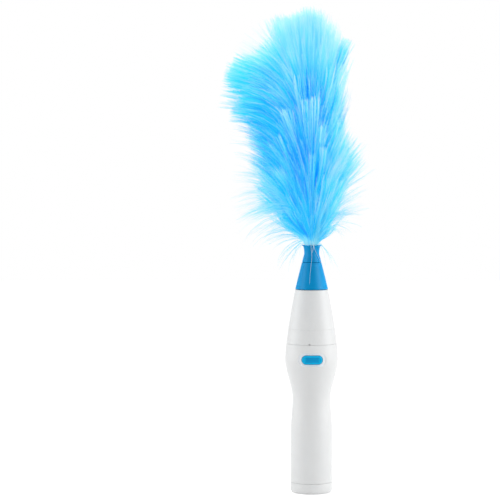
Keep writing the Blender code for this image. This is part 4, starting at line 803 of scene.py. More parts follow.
def add_guide(line, fibres, spread, tone, ragged=0.05, frizz=1.0):
    """Keep a tuft: its line, fibre count, spread at the tip in mm, and its looks."""
    contrast = (np.interp(line[-1][2], *CONTRAST_BY_HEIGHT)
                * np.interp(line[-1][0], *CONTRAST_BY_X) * np.interp(tone, *CONTRAST_BY_TONE))
    guides.append(dict(line=line, fibres=fibres, tuft=len(guides), spread=spread,
                       tone=min(max(tone, 0), 1), contrast=contrast, ragged=ragged, frizz=frizz))


# %% [markdown]
# Most tufts follow one rule: the ends lie in layers inside the outline, fibres that reach far
# bend over towards the level, and those that stay close point up. A seeded generator spreads
# them evenly by the golden angle, so the plume is the same each run. Tufts are tried at all
# heights, and more of them are kept where the plume reaches far.

# %% Guides that follow the rule
MOST_BEND, BEND_FROM, BEND_TO, STEEPEST = 86, 14, 80, 88
BEND_BY_HEIGHT = [235, 300, 400, 425, 443], [1.1, 1.0, 1.0, 0.75, 0.4]


def tip_rise_for(distance, height):
    """How steeply a fibre's end points up, from how far out it reaches."""
    bend = MOST_BEND * eased(share_of(distance, BEND_FROM, BEND_TO))
    return math.radians(STEEPEST - bend * np.interp(height, *BEND_BY_HEIGHT))


rng = np.random.default_rng(7)
RULE_TUFTS, RULE_FIBRES, RULE_SPREAD = 400, 90, 8.2
GOLDEN, EVEN_STEP = math.pi * (3 - math.sqrt(5)), 0.7548776662
HIGHEST_TIP, TIP_RANGE, LOW_MORE, KEEP_REACH = 440, 190, 0.95, 75
LONGEST_RISE, RISE_LOSS = 96, 0.25
LAYERS = (0.98, 0.93, 0.80, 1.0, 0.86, 0.96, 0.62, 0.90)
tried = 0
while len(guides) < RULE_TUFTS:
    tried += 1
    turn = tried * GOLDEN + rng.normal(0, 0.1)
    height = HIGHEST_TIP - TIP_RANGE * ((tried * EVEN_STEP) % 1) ** LOW_MORE
    if rng.random() > reach(height, turn) / KEEP_REACH:
        continue
    layer = LAYERS[len(guides) % len(LAYERS)] + rng.normal(0, 0.025)
    distance = reach(height, turn) * layer
    tip = (distance * math.cos(turn), distance * math.sin(turn), height)
    rise = LONGEST_RISE - RISE_LOSS * distance + rng.normal(0, 7)
    root_z = min(max(height - rise, ROOT_BOTTOM + rng.uniform(0, 4)), ROOT_TOP)
    add_guide(guide_line(turn, root_z, tip, tip_rise_for(distance, height)), RULE_FIBRES,
              spread=RULE_SPREAD + rng.uniform(-1, 2), tone=place_tone(tip) + rng.normal(0, 0.07),
              ragged=0.04 + 0.14 * rng.random())
print("tufts by the rule:", len(guides), "of", tried)

# %% [markdown]
# At the left the plume bulges into a lobe whose ends are nearly flush. Extra tufts there, fanned
# over 28 degrees to either side, end close together just inside the outline.

# %% The left lobe
LOBE_TUFTS, LOBE_FIBRES, LOBE_SPREAD, LOBE_FAN = 52, 84, 7.5, 28
LOBE_BOTTOM, LOBE_HEIGHT, LOBE_RISE, LOBE_REACH = 350, 54, 78, 0.975
LOBE_TIP_RISE = [351, 380, 405], [-4, 6, 22]
for i in range(LOBE_TUFTS):
    turn = math.pi + math.radians(LOBE_FAN) * math.sin(i * GOLDEN)
    height = LOBE_BOTTOM + LOBE_HEIGHT * ((i * EVEN_STEP) % 1) + rng.normal(0, 1)
    distance = reach(height, turn) * (LOBE_REACH + rng.normal(0, 0.008))
    tip = (distance * math.cos(turn), distance * math.sin(turn), height)
    tip_rise = math.radians(np.interp(height, *LOBE_TIP_RISE))
    add_guide(guide_line(turn, height - LOBE_RISE, tip, tip_rise), LOBE_FIBRES, LOBE_SPREAD,
              tone=place_tone(tip) + rng.normal(0.06, 0.06), ragged=0.02 + 0.05 * rng.random())
print("with the left lobe:", len(guides))

# %% [markdown]
# The top of the plume is cut like a brush. Tufts stand close together over the whole top, their
# ends level or slanting a little, and they lean outwards only near its edge.

# %% The crown
# The crown's tone is pale: painted light on the top of the plume.
CROWN_TUFTS, CROWN_FIBRES, CROWN_SPREAD, CROWN_TONE, CROWN_FRIZZ = 70, 62, 5.2, 0.90, 1.6
CROWN_MIDDLE, CROWN_HALF = (-10.0, 0.0), (28.5, 27.0)
CROWN_BY_X = [-38, -22, -12, -6, 1, 8, 19], [437, 439, 440.5, 444.5, 444.5, 440.5, 432]
CROWN_ROUND, CROWN_LEAN, CROWN_ROOTS, CROWN_ROOT_STEP = 3, 26, 78, 14
for i in range(CROWN_TUFTS):
    out, turn = math.sqrt((i + 0.5) / CROWN_TUFTS), i * GOLDEN
    x = CROWN_MIDDLE[0] + CROWN_HALF[0] * out * math.cos(turn)
    y = CROWN_MIDDLE[1] + CROWN_HALF[1] * out * math.sin(turn)
    height = (np.interp(x, *CROWN_BY_X) - CROWN_ROUND * (y / CROWN_HALF[1]) ** 2
              + rng.normal(0, 1.2))
    tip_rise = math.radians(STEEPEST - CROWN_LEAN * out)
    root_z = ROOT_TOP - CROWN_ROOTS * out - rng.uniform(0, CROWN_ROOT_STEP)
    add_guide(guide_line(math.atan2(y, x), root_z, (x, y, height), tip_rise), CROWN_FIBRES,
              spread=CROWN_SPREAD + rng.uniform(-0.6, 1), tone=CROWN_TONE + rng.normal(0, 0.14),
              ragged=0.05 + 0.16 * rng.random(), frizz=CROWN_FRIZZ)
print("with the crown:", len(guides))

# %% [markdown]
# Some tufts stand out in front, each cut square. The pale ones are painted light, as bright, level
# ends, and the dark, narrow ones are painted shade, as pockets where one looks into the depth of
# the plume. One tuft at the upper right stands apart from the rest like a flap.

# %% Tufts that stand out
STANDING = [
    # tip (x, y, z), root height, tip rise, fibres, spread, tone, ragged
    ((-24, -45, 353), 276, 66, 150, 5.0, 0.82, 0.03),
    ((-6, -49, 361), 280, 86, 150, 5.0, 0.78, 0.03),
    ((1, -50, 363), 282, 88, 120, 4.0, 0.80, 0.03),
    ((7, -50, 338), 262, 84, 110, 3.2, 0.72, 0.03),
    ((10, -49, 318), 244, 82, 110, 3.4, 0.70, 0.03),
    ((-2, -50, 312), 238, 88, 90, 2.8, 0.62, 0.03),
    ((20, -43, 344), 266, 80, 110, 4.0, 0.72, 0.06),
    ((-34, -41, 330), 256, 58, 120, 4.5, 0.5, 0.08),
    ((-14, -49, 384), 300, 76, 110, 4.0, 0.55, 0.05),
    ((14, -47, 392), 312, 82, 110, 4.2, 0.72, 0.05),
    ((33, -8, 416), 338, 64, 200, 6.4, 0.75, 0.04),
    ((29, -14, 410), 334, 70, 120, 4.6, 0.30, 0.06),
    ((-36, -39, 301), 232, 46, 120, 7.0, 0.85, 0.12),
    ((13, -45, 292), 229, 78, 110, 5.0, 0.85, 0.10),
    ((-5, -47, 398), 318, 89, 60, 1.3, 0.0, 0.25),
    ((-19, -48, 326), 250, 70, 60, 1.4, 0.0, 0.25),
    ((-12, -49, 302), 236, 74, 60, 1.4, 0.0, 0.25),
    ((-22, -47, 366), 290, 62, 60, 1.6, 0.05, 0.25),
    ((8, -50, 300), 236, 84, 50, 1.2, 0.05, 0.25),
    ((-14, -51, 343), 268, 74, 110, 3.6, 0.0, 0.2),
    ((-3, -52, 331), 256, 84, 90, 3.0, 0.0, 0.2),
    ((-24, -48, 322), 246, 64, 80, 3.0, 0.05, 0.2),
    ((4, -52, 322), 250, 86, 70, 2.6, 0.05, 0.2),
]
STANDING_FRIZZ = 0.6
for tip, root_z, rise, fibres, spread, tone, ragged in STANDING:
    add_guide(guide_line(math.atan2(tip[1], tip[0]), root_z, tip, math.radians(rise)),
              fibres, spread, tone, ragged, STANDING_FRIZZ)
print("with those that stand out:", len(guides))

# %% [markdown]
# Loose fibres stand off the bundle: long pale arcs that droop at the lower left, a spray at the
# right, and a few that hang past the collar. They are tufts of few fibres with a wide spread.
# Each is grown twice, once as listed and once nearer to the stem and further to front or back.

# %% Loose fibres
LOOSE = [
    # turn (degrees), root height, tip (x, y, z), tip rise (degrees), fibres, spread, tone
    (180, 226, (-70, -8, 249), -36, 140, 5.5, 0.95),
    (190, 226, (-64, -16, 232), -54, 46, 8, 1.0),
    (178, 226, (-52, -22, 226), -56, 20, 9, 1.0),
    (175, 228, (-73, 0, 264), -22, 130, 10, 0.95),
    (185, 236, (-73, -14, 284), -6, 125, 12, 0.95),
    (170, 246, (-73, 8, 300), 4, 110, 10, 0.9),
    (182, 250, (-73, -10, 316), 4, 90, 7, 0.7),
    (186, 262, (-75, 6, 332), 8, 80, 8, 0.7),
    (195, 226, (-40, -18, 214), -60, 14, 9, 1.0),
    (170, 226, (-28, 12, 204), -68, 12, 8, 1.0),
    (0, 226, (47.5, -8, 248), -20, 34, 9, 0.98),
    (10, 226, (44, 8, 234), -46, 18, 9, 1.0),
    (-10, 230, (49, -10, 270), 22, 50, 10, 0.95),
    (5, 236, (48, 6, 290), 36, 80, 9, 0.9),
    (-5, 246, (49, -6, 306), 44, 150, 9, 0.85),
    (0, 254, (46, -12, 322), 52, 150, 8, 0.8),
    (0, 226, (22, -12, 202), -78, 6, 5, 1.0),
    (200, 330, (-70, -10, 410), 26, 90, 9, 0.98),
    (170, 340, (-62, 6, 422), 42, 80, 9, 1.0),
    (190, 350, (-50, -14, 430), 52, 60, 8, 1.0),
]
DROOP, DROOP_BEND = -10, 0.72
TWIN_TURN, TWIN_REACH, TWIN_SIDE, TWIN_UP = 40, 0.8, 22, 4
LOOSE_RAGGED, LOOSE_FRIZZ = 0.4, 2.0
for turn, root_z, tip, rise, fibres, spread, tone in LOOSE:
    first_bend = DROOP_BEND if rise < DROOP and tip[2] > root_z else FIRST_BEND
    side = TWIN_SIDE if turn % 20 else -TWIN_SIDE
    twin = (tip[0] * TWIN_REACH, tip[1] + side, tip[2] + TWIN_UP)
    for way, end in ((turn, tip), (turn + TWIN_TURN, twin)):
        add_guide(guide_line(math.radians(way), root_z, end, math.radians(rise), first_bend),
                  fibres, spread, tone, LOOSE_RAGGED, LOOSE_FRIZZ)
print("tufts in all:", len(guides), "fibres:", sum(g["fibres"] for g in guides))

# %% [markdown]
# Geometry Nodes turn the guides into fibres. Each guide is repeated once for each of its fibres,
# and each copy moves aside by a random step that grows from root to tip. Steps are square to the
# line, which keeps a tuft's ends level, as cut. Seven neighbours share most of their step, so
# they read as one streak. Every fibre is then a three-sided tube that tapers to its end.

# %% What the tree is told
TREE_INPUTS = {"Guides": "Geometry", "Fibre Radius": "Float", "Root Spread": "Float",
               "Streak Share": "Float", "Frizz": "Float", "Frizz Size": "Float", "Seed": "Int",
               "Finish": "Material"}
# What each guide carries, and what the tree stores on its way.
TUFT_VALUES = {"fibres": "INT", "tuft": "INT", "spread": "FLOAT", "tone": "FLOAT",
               "contrast": "FLOAT", "ragged": "FLOAT", "frizz": "FLOAT"}
FIBRE_VALUES = {"number": "INT", "along": "FLOAT", "side": "FLOAT"}
MOST_FIBRES, STREAK_FIBRES, FIBRE_SIDES = 1000, 7, 3
SPREAD_POWER, TAPER_POWER_ALONG, TAPER_LOSS = 1.25, 3.0, 0.6
THINNEST, THICKNESS_RANGE = 0.7, 0.6
TONE_SPAN, TONE_LEAST, OWN_TONE = 0.58, 0.16, 0.06
FIBRE_MAP, MAP_COLUMNS, MAP_EDGE = "OFBake", 64, 0.01

# %% [markdown]
# First each guide is copied, once for each of its fibres, and each copy gets a number. A random
# number comes from a fibre's own number, or from its streak's, with a seed of its own for each
# use, so the plume is the same each run. The fibre's end is then cut back a little by chance.

# %% Number the fibres
MATH, VECTOR, STORE = "ShaderNodeMath", "ShaderNodeVectorMath", "GeometryNodeStoreNamedAttribute"


def draw_chances(add, seed, number):
    """A random number or step for each use, drawn for a fibre or for its whole streak."""
    streak = add(MATH, [number, STREAK_FIBRES], operation="DIVIDE")
    streak = add(MATH, [streak], operation="FLOOR")
    chance = {}
    for name, source, offset, kind, out in (
            ("streak step", streak, 3, "FLOAT_VECTOR", "Value"),
            ("own step", number, 5, "FLOAT_VECTOR", "Value"),
            ("own place", number, 9, "FLOAT_VECTOR", "Value"),
            ("own end", number, 11, "FLOAT", "Value_001"),
            ("own thickness", number, 13, "FLOAT", "Value_001"),
            ("streak tone", streak, 17, "FLOAT", "Value_001"),
            ("own tone", number, 19, "FLOAT", "Value_001")):
        own_seed = add(MATH, [seed, offset], operation="ADD")
        drawn = add("FunctionNodeRandomValue", {"Min": (-1, -1, -1), "Max": (1, 1, 1),
                                                "ID": source, "Seed": own_seed}, data_type=kind)
        chance[name] = pick(drawn.outputs, out)
    return chance


def cut_fibres(add, guides_in, stored, own_end):
    """A numbered copy of the guide for each fibre, its end cut back by chance."""
    lines = add("GeometryNodeMeshToCurve", {"Mesh": guides_in})
    copies = add("GeometryNodeDuplicateElements",
                 {"Geometry": lines, "Amount": stored["fibres"]}, domain="SPLINE")
    number = add(MATH, [stored["tuft"], MOST_FIBRES, pick(copies.outputs, "Duplicate Index")],
                 operation="MULTIPLY_ADD")
    numbered = add(STORE, {"Geometry": copies, "Name": "number", "Value": number},
                   data_type="INT", domain="CURVE")
    lost = add(MATH, [own_end, stored["ragged"]], operation="MULTIPLY")
    end = add(MATH, [1.0, lost], operation="SUBTRACT")
    return add("GeometryNodeTrimCurve", {"Curve": numbered, "End": end})


# %% [markdown]
# Then the fibres part. The step aside is mostly the streak's and partly the fibre's own, and what
# it has along the line is taken off, so that it is square to it. Synthetic fibre is also crimped:
# each one waves by a noise, and reads it at a place of its own, so no two wave alike.

# %% Spread and frizz
NOISE_PLACES = 40.0


def part_fibres(add, given, stored, chance, fibres):
    """Move each fibre aside and let it wave, more and more towards its tip."""
    along = add("GeometryNodeSplineParameter")
    ahead = add("GeometryNodeInputTangent")
    common = add(VECTOR, {"Vector": chance["streak step"], "Scale": given["Streak Share"]},
                 operation="SCALE")
    rest = add(MATH, [1.0, given["Streak Share"]], operation="SUBTRACT")
    own = add(VECTOR, {"Vector": chance["own step"], "Scale": rest}, operation="SCALE")
    step = add(VECTOR, [common, own], operation="ADD")
    forward = pick(add(VECTOR, [step, ahead], operation="DOT_PRODUCT").outputs, "Value")
    forward = add(VECTOR, {"Vector": ahead, "Scale": forward}, operation="SCALE")
    square = add(VECTOR, [step, forward], operation="SUBTRACT")
    opened = add(MATH, [along, SPREAD_POWER], operation="POWER")
    width = add(MATH, [stored["spread"], opened, given["Root Spread"]], operation="MULTIPLY_ADD")
    aside = add(VECTOR, {"Vector": square, "Scale": width}, operation="SCALE")

    closeness = add(MATH, [1.0, given["Frizz Size"]], operation="DIVIDE")
    place = add(VECTOR, {"Vector": add("GeometryNodeInputPosition"), "Scale": closeness},
                operation="SCALE")
    apart = add(VECTOR, {"Vector": chance["own place"], "Scale": NOISE_PLACES},
                operation="SCALE")
    place = add(VECTOR, [place, apart], operation="ADD")
    wave = add("ShaderNodeTexNoise", {"Vector": place, "Scale": 1.0, "Detail": 1.0})
    wave = add(VECTOR, [wave.outputs[1], (0.5, 0.5, 0.5)], operation="SUBTRACT")
    frizz = add(MATH, [given["Frizz"], stored["frizz"]], operation="MULTIPLY")
    frizz = add(MATH, [frizz, opened], operation="MULTIPLY")
    waved = add(VECTOR, {"Vector": wave, "Scale": frizz}, operation="SCALE")
    offset = add(VECTOR, [aside, waved], operation="ADD")
    return add("GeometryNodeSetPosition", {"Geometry": fibres, "Offset": offset})


# %% [markdown]
# Each line becomes a tube with three sides, the fewest that look round from afar. It gets thinner
# towards the tip, and fibres differ in thickness by chance, as drawn fibre does.

# %% Tubes


def draw_tubes(add, given, chance, fibres):
    """Three-sided tubes on the lines, with the way along and the side stored for the map."""
    along = add("GeometryNodeSplineParameter")
    fibres = add(STORE, {"Geometry": fibres, "Name": "along", "Value": along},
                 data_type="FLOAT", domain="POINT")
    ring = add("GeometryNodeCurvePrimitiveCircle", {"Resolution": FIBRE_SIDES, "Radius": 1.0})
    side = add(MATH, [add("GeometryNodeInputIndex"), FIBRE_SIDES - 1], operation="DIVIDE")
    ring = add(STORE, {"Geometry": ring, "Name": "side", "Value": side},
               data_type="FLOAT", domain="POINT")
    taper = add(MATH, [along, TAPER_POWER_ALONG], operation="POWER")
    taper = add(MATH, [taper, TAPER_LOSS], operation="MULTIPLY")
    taper = add(MATH, [1.0, taper], operation="SUBTRACT")
    thick = add(MATH, [given["Fibre Radius"], taper], operation="MULTIPLY")
    own = add(MATH, [chance["own thickness"], THICKNESS_RANGE, THINNEST],
              operation="MULTIPLY_ADD")
    thick = add(MATH, [thick, own], operation="MULTIPLY")
    return add("GeometryNodeCurveToMesh",
               {"Curve": fibres, "Profile Curve": ring, "Scale": thick, "Fill Caps": True})


# %% [markdown]
# The last step lays out a map for the dye. Across it run the tones, in 64 columns with the tube's
# sides inside each, and up it runs each fibre from root to tip. A fibre's tone is its tuft's,
# changed by its streak as far as the tuft's contrast lets it, and a little by itself.

# %% The map
COLUMN_SIDES, COLUMN_EDGE = 0.8, 0.1


def lay_map(add, stored, chance, tubes):
    """Store each corner's place on the map, and drop what was only stored on the way."""
    streaked = add(MATH, [chance["streak tone"], 0.5], operation="SUBTRACT")
    streaked = add(MATH, [streaked, stored["contrast"]], operation="MULTIPLY")
    own = add(MATH, [chance["own tone"], OWN_TONE, streaked], operation="MULTIPLY_ADD")
    tone = add(MATH, [stored["tone"], TONE_SPAN, TONE_LEAST], operation="MULTIPLY_ADD")
    tone = add(MATH, [tone, own], operation="ADD", use_clamp=True)
    column = add(MATH, [tone, MAP_COLUMNS - 1], operation="MULTIPLY")
    column = add(MATH, [column], operation="FLOOR")
    within = add(MATH, [stored["side"], COLUMN_SIDES, COLUMN_EDGE], operation="MULTIPLY_ADD")
    across = add(MATH, [column, within], operation="ADD")
    across = add(MATH, [across, MAP_COLUMNS], operation="DIVIDE")
    up = add(MATH, [stored["along"], 1 - 2 * MAP_EDGE, MAP_EDGE], operation="MULTIPLY_ADD")
    mapped = add(STORE, {"Geometry": tubes, "Name": FIBRE_MAP,
                         "Value": add("ShaderNodeCombineXYZ", [across, up])},
                 data_type="FLOAT2", domain="CORNER")
    for name in stored:
        mapped = add("GeometryNodeRemoveAttribute", {"Geometry": mapped, "Name": name})
    return mapped


# %% [markdown]
# The tree itself only strings these steps together. It ends by making the instances real and
# giving them their finish, so that what comes out is a plain mesh.

# %% The tree that grows the fibres


def grow_tree():
    """Guides in, fibres out."""
    tree = bpy.data.node_groups.new("grow_fibres", "GeometryNodeTree")
    for name, kind in TREE_INPUTS.items():
        tree.interface.new_socket(name, in_out="INPUT", socket_type="NodeSocket" + kind)
    tree.interface.new_socket("Fibres", in_out="OUTPUT", socket_type="NodeSocketGeometry")
    add = partial(add_node, tree)
    given = {s.name: s for s in add("NodeGroupInput").outputs}
    stored = {name: add("GeometryNodeInputNamedAttribute", {"Name": name}, data_type=kind)
              for name, kind in {**TUFT_VALUES, **FIBRE_VALUES}.items()}
    chance = draw_chances(add, given["Seed"], stored["number"])
    fibres = cut_fibres(add, given["Guides"], stored, chance["own end"])
    fibres = part_fibres(add, given, stored, chance, fibres)
    tubes = draw_tubes(add, given, chance, fibres)
    mapped = lay_map(add, stored, chance, tubes)
    smooth = add("GeometryNodeSetShadeSmooth", {"Geometry": mapped})
    real = add("GeometryNodeRealizeInstances", {"Geometry": smooth})
    painted = add("GeometryNodeSetMaterial", {"Geometry": real, "Material": given["Finish"]})
    add("NodeGroupOutput", [painted])
    return tree


fibre_tree = grow_tree()
print("nodes in the tree:", len(fibre_tree.nodes))

# %% [markdown]
# The fibre is dyed polypropylene: clear sky blue, slightly glossy along its length. Light that
# falls between fibres bounces from one to the next and comes out a deeper blue each time, and the
# deep shade tone paints more shade into streaks and pockets. The finish reads the map: its tones
# run from a deep shade through the body colour to pale. Each of the three is painted paler at the
# root, as painted light where the crowded fibres by the collar shade one another, and paler again
# at the tip, as a painted glow of light through the thin ends.

# %% Dyed fibre
tree, shader = new_finish("dyed_polypropylene_fibre",
                          {"IOR": 1.49, "Roughness": 0.5, "Specular IOR Level": 0.3})
fibre_spot = add_node(tree, "ShaderNodeUVMap", uv_map=FIBRE_MAP)
spot = add_node(tree, "ShaderNodeSeparateXYZ", [fibre_spot])
DYES = {
    # colours by the way along the fibre, from root to tip, painted paler at both ends as painted
    # light
    "shade": [(0.0, "a8eaff"), (0.18, "70d8ff"), (0.35, "00a8ff"), (0.8, "00a0ff"),
              (1.0, "10baff")],
    "body": [(0.0, "bef4ff"), (0.18, "8ceaff"), (0.38, "08d6ff"), (0.8, "0cdaff"),
             (1.0, "44e8ff")],
    "pale": [(0.0, "ccf6ff"), (0.3, "9cecff"), (0.85, "aeeeff"), (1.0, "e8f8ff")],
}
dyes = {}
for name, stops in DYES.items():
    dyes[name] = add_node(tree, "ShaderNodeValToRGB", [spot.outputs[1]])
    elements = dyes[name].color_ramp.elements
    while len(elements) < len(stops):
        elements.new(0.5)
    for element, (place, colour) in zip(elements, stops):
        element.position, element.color = place, linear(colour)
mixed = dyes["shade"]
for low, high, dye in ((0.17, 0.29, "body"), (0.46, 0.80, "pale")):
    share = add_node(tree, "ShaderNodeMapRange",
                     {"Value": spot, "From Min": low, "From Max": high})
    mix = add_node(tree, "ShaderNodeMix", {"Factor_Float": share, "A_Color": mixed,
                                           "B_Color": dyes[dye]}, data_type="RGBA")
    mixed = pick(mix.outputs, "Result_Color")
tree.links.new(mixed, shader.inputs["Base Color"])

# %% [markdown]
# The guides go into the tree in ten batches from the bottom of the stem to its top, two for each
# of the five tufts of the frame, so that no piece grows past 200,000 triangles.

# %% Grow the plume
TIERS = ("tuft_bottom", "tuft_lower", "tuft_middle", "tuft_upper", "tuft_top")
BATCHES = 10
SIZES = {"Fibre Radius": 0.085 * MM, "Root Spread": 1.1 * MM, "Streak Share": 0.93,
         "Frizz": 3.6 * MM, "Frizz Size": 18 * MM, "Seed": 3,
         "Finish": bpy.data.materials["dyed_polypropylene_fibre"]}


def grow(name, batch, sizes=SIZES):
    """Draw a batch's middle lines as edges, grow fibres on them and keep the plain mesh."""
    points = np.concatenate([g["line"] for g in batch]) * MM
    edges = [(k, k + 1) for i in range(len(batch))
             for k in range(i * GUIDE_POINTS, (i + 1) * GUIDE_POINTS - 1)]
    mesh = bpy.data.meshes.new(name)
    mesh.from_pydata(points.tolist(), edges, [])
    for key, kind in TUFT_VALUES.items():
        values = [g[key] * (MM if key == "spread" else 1) for g in batch]
        layer = mesh.attributes.new(key, kind, "POINT")
        layer.data.foreach_set("value", np.repeat(values, GUIDE_POINTS))
    made = new_object(name, mesh)
    growing = made.modifiers.new("grow", "NODES")
    growing.node_group = fibre_tree
    for item in fibre_tree.interface.items_tree:
        if item.in_out == "INPUT" and item.name in sizes:
            growing[item.identifier] = sizes[item.name]
    settle(made, growing)
    return made


guides.sort(key=lambda g: g["line"][0][2])
fibre_total = sum(g["fibres"] for g in guides)
batches, running = [[] for _ in range(BATCHES)], 0
for g in guides:
    batches[min(int(running * BATCHES / fibre_total), BATCHES - 1)].append(g)
    running += g["fibres"]
plume_set = bpy.data.collections.new("plume_set")
for i, batch in enumerate(batches):
    made = grow("plume_fibres_%02d" % (i + 1), batch)
    plume_set.objects.link(made)
    stand_for(made, TIERS[i * len(TIERS) // BATCHES], "head")
    made.data.calc_loop_triangles()
    print("tufts:", len(batch), "triangles:", len(made.data.loop_triangles))

# %% [markdown]
# The fibres are held on the stem by a wrap of dyed tape and glue, one length of it under each of
# the five tufts. It hardly shows, but one sees it from close by where the roots stand apart.

# %% Wrap under the roots
WRAP_RADIUS, WRAP_BORE, WRAP_BOTTOM, WRAP_TOP, WRAP_GROOVE = 4.3, 3.25, 219.4, 420.6, 3.9
WRAP_SLOPE, WRAP_GAP, WRAP_SIDES, WRAP_CREASE = 0.5, 0.1, 32, 50
edges = np.linspace(WRAP_BOTTOM, WRAP_TOP, len(TIERS) + 1)
section = [(WRAP_BORE, WRAP_TOP), (WRAP_BORE, WRAP_BOTTOM)]
for low, high in zip(edges, edges[1:]):
    section += [(WRAP_GROOVE, low), (WRAP_RADIUS, low + WRAP_SLOPE),
                (WRAP_RADIUS, high - WRAP_SLOPE), (WRAP_GROOVE, high - WRAP_GAP)]
root_wrap = turned("root_wrap", section, "dyed_root_tape", WRAP_SIDES, WRAP_CREASE)
stand_for(root_wrap, " ".join(TIERS), "head")

# %% [markdown]
# Three fibres have come loose and lie over the collar and the cone. They have faded to almost
# white. Each is drawn by points (across, height) and laid 0.25 mm in front of the plastic. They
# are drawn more than twice as thick as real, so that they still show from 2 m away.

# %% Stray fibres
STRAYS = [
    [(-1.4, 232), (-0.6, 225), (0, 218), (-0.3, 213.5), (-0.9, 209), (-1.8, 200), (-2.3, 192.5)],
    [(1.8, 231), (1.6, 229), (1.4, 227.4), (1.2, 225.5), (0.9, 224), (0.6, 222.5), (0.4, 221)],
    [(1.6, 229.5), (2.0, 227), (2.6, 224), (4.0, 220.5), (5.8, 217.5), (7.2, 214), (8.0, 211.4)],
]
STRAY_RADIUS, STRAY_GAP = 0.2, 0.25
PLASTIC_BY_HEIGHT = ([CONE_Z, CONE_TOP, FOOT_TOP, NECK_Z, COLLAR_TOP],
                     [CONE_FOOT_RADIUS, CONE_TOP_RADIUS, FOOT_RADIUS, NECK_RADIUS, LIP_RADIUS])
strays = []
for number, points in enumerate(STRAYS):
    line = []
    for x, z in points:
        radius = np.interp(z, *PLASTIC_BY_HEIGHT) + STRAY_GAP
        line.append((x, -math.sqrt(max(radius ** 2 - x ** 2, 1.0)), z))
    strays.append(dict(line=np.array(line), fibres=1, tuft=number, spread=0, tone=1, contrast=0,
                       ragged=0, frizz=0))
stray_sizes = {**SIZES, "Fibre Radius": STRAY_RADIUS * MM, "Root Spread": 0.0,
               "Finish": bpy.data.materials["bleached_polypropylene_fibre"]}
stray_fibres = grow("stray_fibres", strays, stray_sizes)
stand_for(stray_fibres, "", "head")

# %% [markdown]
# The stage is a white table in a white room. The floor and the room look plain white to the
# camera by Light Path, and the floor still takes the duster's soft shadow.

# %% Floor and room
scene = bpy.context.scene
scene.view_settings.view_transform = "Standard"
FLOOR_HALF, FLOOR_DROP, FLOOR_GLOW, ROOM_LIGHT = 3.0, 0.2, 0.55, 0.52
WHITE = (1, 1, 1, 1)


def seen_directly(tree):
    """1 for rays from the camera, mirrors and glass, 0 for the light on the object."""
    path = add_node(tree, "ShaderNodeLightPath")
    seen = pick(path.outputs, "Is Camera Ray")
    for ray in ("Is Glossy Ray", "Is Transmission Ray"):
        seen = add_node(tree, "ShaderNodeMath", [seen, pick(path.outputs, ray)],
                        operation="MAXIMUM")
    return seen


tree, shader = new_finish("white_floor_paper", {"Base Color": linear("f0f0f0"),
                                                "Roughness": 0.9, "Emission Color": WHITE})
glow = add_node(tree, "ShaderNodeMath", [seen_directly(tree), FLOOR_GLOW], operation="MULTIPLY")
tree.links.new(glow.outputs[0], shader.inputs["Emission Strength"])
shape = bmesh.new()
bmesh.ops.create_grid(shape, x_segments=1, y_segments=1, size=FLOOR_HALF)
table_top = finish_mesh("floor", shape, "white_floor_paper")
table_top.data.transform(Matrix.Translation((0, 0, -FLOOR_DROP * MM)))

world = bpy.data.worlds.new("white_room")
scene.world = world
world.use_nodes = True
tree = world.node_tree
strength = add_node(tree, "ShaderNodeMapRange",
                    {"Value": seen_directly(tree), "To Min": ROOM_LIGHT, "To Max": 1.0})
background = tree.nodes["Background"]
background.inputs["Color"].default_value = WHITE
tree.links.new(strength.outputs[0], background.inputs["Strength"])
print("stage:", table_top.name, world.name)

# %% [markdown]
# A wide soft lamp on each side lights the flanks, so a round white handle is bright at its edges
# and greyer down the middle, as in a product photograph, and a third stands above. Cone and
# collar have lamps of their own. Two tall strips show in their gloss only, as the two upright
# highlights of a studio, and two more brighten only their flanks.

# %% Lamps


def soft_lamp(name, place, aim, size, power, lit_set=None):
    """A square soft lamp at a place, turned to its aim. It may light one set of pieces only."""
    light = bpy.data.lights.new(name, "AREA")
    light.shape, light.size, light.energy = "SQUARE", size, power
    lamp = new_object(name, light)
    lamp.location = place
    lamp.rotation_euler = (Vector(aim) - Vector(place)).to_track_quat("-Z", "Y").to_euler()
    if lit_set:
        lamp.light_linking.receiver_collection = lit_set
        lamp.light_linking.blocker_collection = casting_set
    return lamp


def set_of(name, pieces):
    """A collection of pieces, for lamps to light or be hidden by."""
    made = bpy.data.collections.new(name)
    for piece in pieces:
        made.objects.link(piece)
    return made


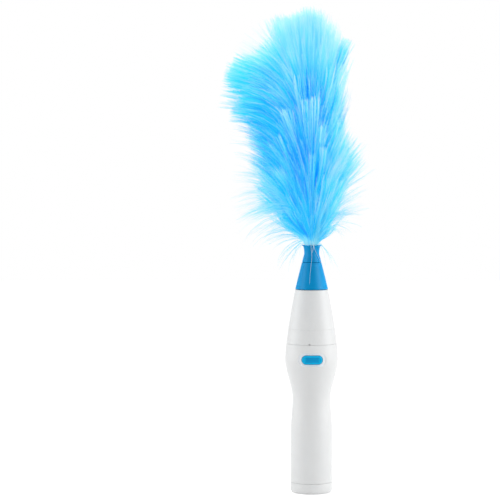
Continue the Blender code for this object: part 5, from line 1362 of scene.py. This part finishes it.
casting_set = set_of("casting_set", (cap_shell, grip_shell, ring_shell, nose_shell, cone_shell,
                                     collar_shell))
blue_set = set_of("blue_set", (cone_shell, collar_shell))
soft_lamp("left_lamp", (-1.5, 0.1, 0.55), (0, 0, 0.22), 1.2, 8)
soft_lamp("right_lamp", (1.5, -0.16, 0.6), (0, 0, 0.22), 1.2, 10.5)
soft_lamp("top_lamp", (0, -0.2, 1.4), (0, 0, 0.3), 0.8, 5)
STRIP_WIDTH, STRIP_HEIGHT = 0.25, 1.2
STRIPS = [
    # name, place, power, whether it shows in gloss
    ("right_strip", (1.07, -0.55, 0.6), 30, True), ("left_strip", (-1.15, -0.35, 0.6), 16, True),
    ("right_flank", (1.18, 0.22, 0.4), 6.5, False), ("left_flank", (-1.18, 0.22, 0.4), 3.0, False),
]
for name, place, power, in_gloss in STRIPS:
    strip = soft_lamp(name, place, (0, 0, place[2]), STRIP_WIDTH, power, blue_set)
    strip.data.shape, strip.data.size_y = "RECTANGLE", STRIP_HEIGHT
    strip.visible_diffuse, strip.visible_glossy = not in_gloss, in_gloss

# %% [markdown]
# A bundle of fibres swallows light: each one shades the next, and a pale blue one renders as a
# dull one. Real fibres let light through and glow. So five more soft lamps stand round the
# plume. Blender's light linking keeps them off the handle, and lets the handle, cone and collar
# cast shadows from them while the fibres don't shade one another.

# %% Plume lamps
PLUME_MIDDLE = (-0.015, 0, 0.33)
PLUME_SIZE, PLUME_POWER = 0.7, 3.6
PLUME_LAMPS = [(-0.75, -0.8, 0.34), (0.75, -0.8, 0.34), (-0.75, 0.8, 0.34), (0.75, 0.8, 0.34),
               (0, 0, 1.35)]
for number, place in enumerate(PLUME_LAMPS, 1):
    soft_lamp("plume_lamp_%d" % number, place, PLUME_MIDDLE, PLUME_SIZE, PLUME_POWER, plume_set)
print("lamps:", len(bpy.data.lights))

# %% [markdown]
# The photograph was taken from about 2.1 m with a long lens, nearly level, with the duster right
# of the middle of the frame. So the camera looks straight along +Y past the duster's left.

# %% Camera
CAMERA_PLACE = (-0.0566, -2.1, 0.330)
AIM_HEIGHT = 0.2232
FOCAL_LENGTH = 165.0
lens = bpy.data.cameras.new("camera")
lens.lens = FOCAL_LENGTH
camera = new_object("camera", lens)
camera.location = CAMERA_PLACE
pitch = math.atan2(CAMERA_PLACE[2] - AIM_HEIGHT, -CAMERA_PLACE[1])
camera.rotation_euler = (math.pi / 2 - pitch, 0, 0)
scene.camera = camera
print("camera pitch (degrees):", round(math.degrees(pitch), 2))
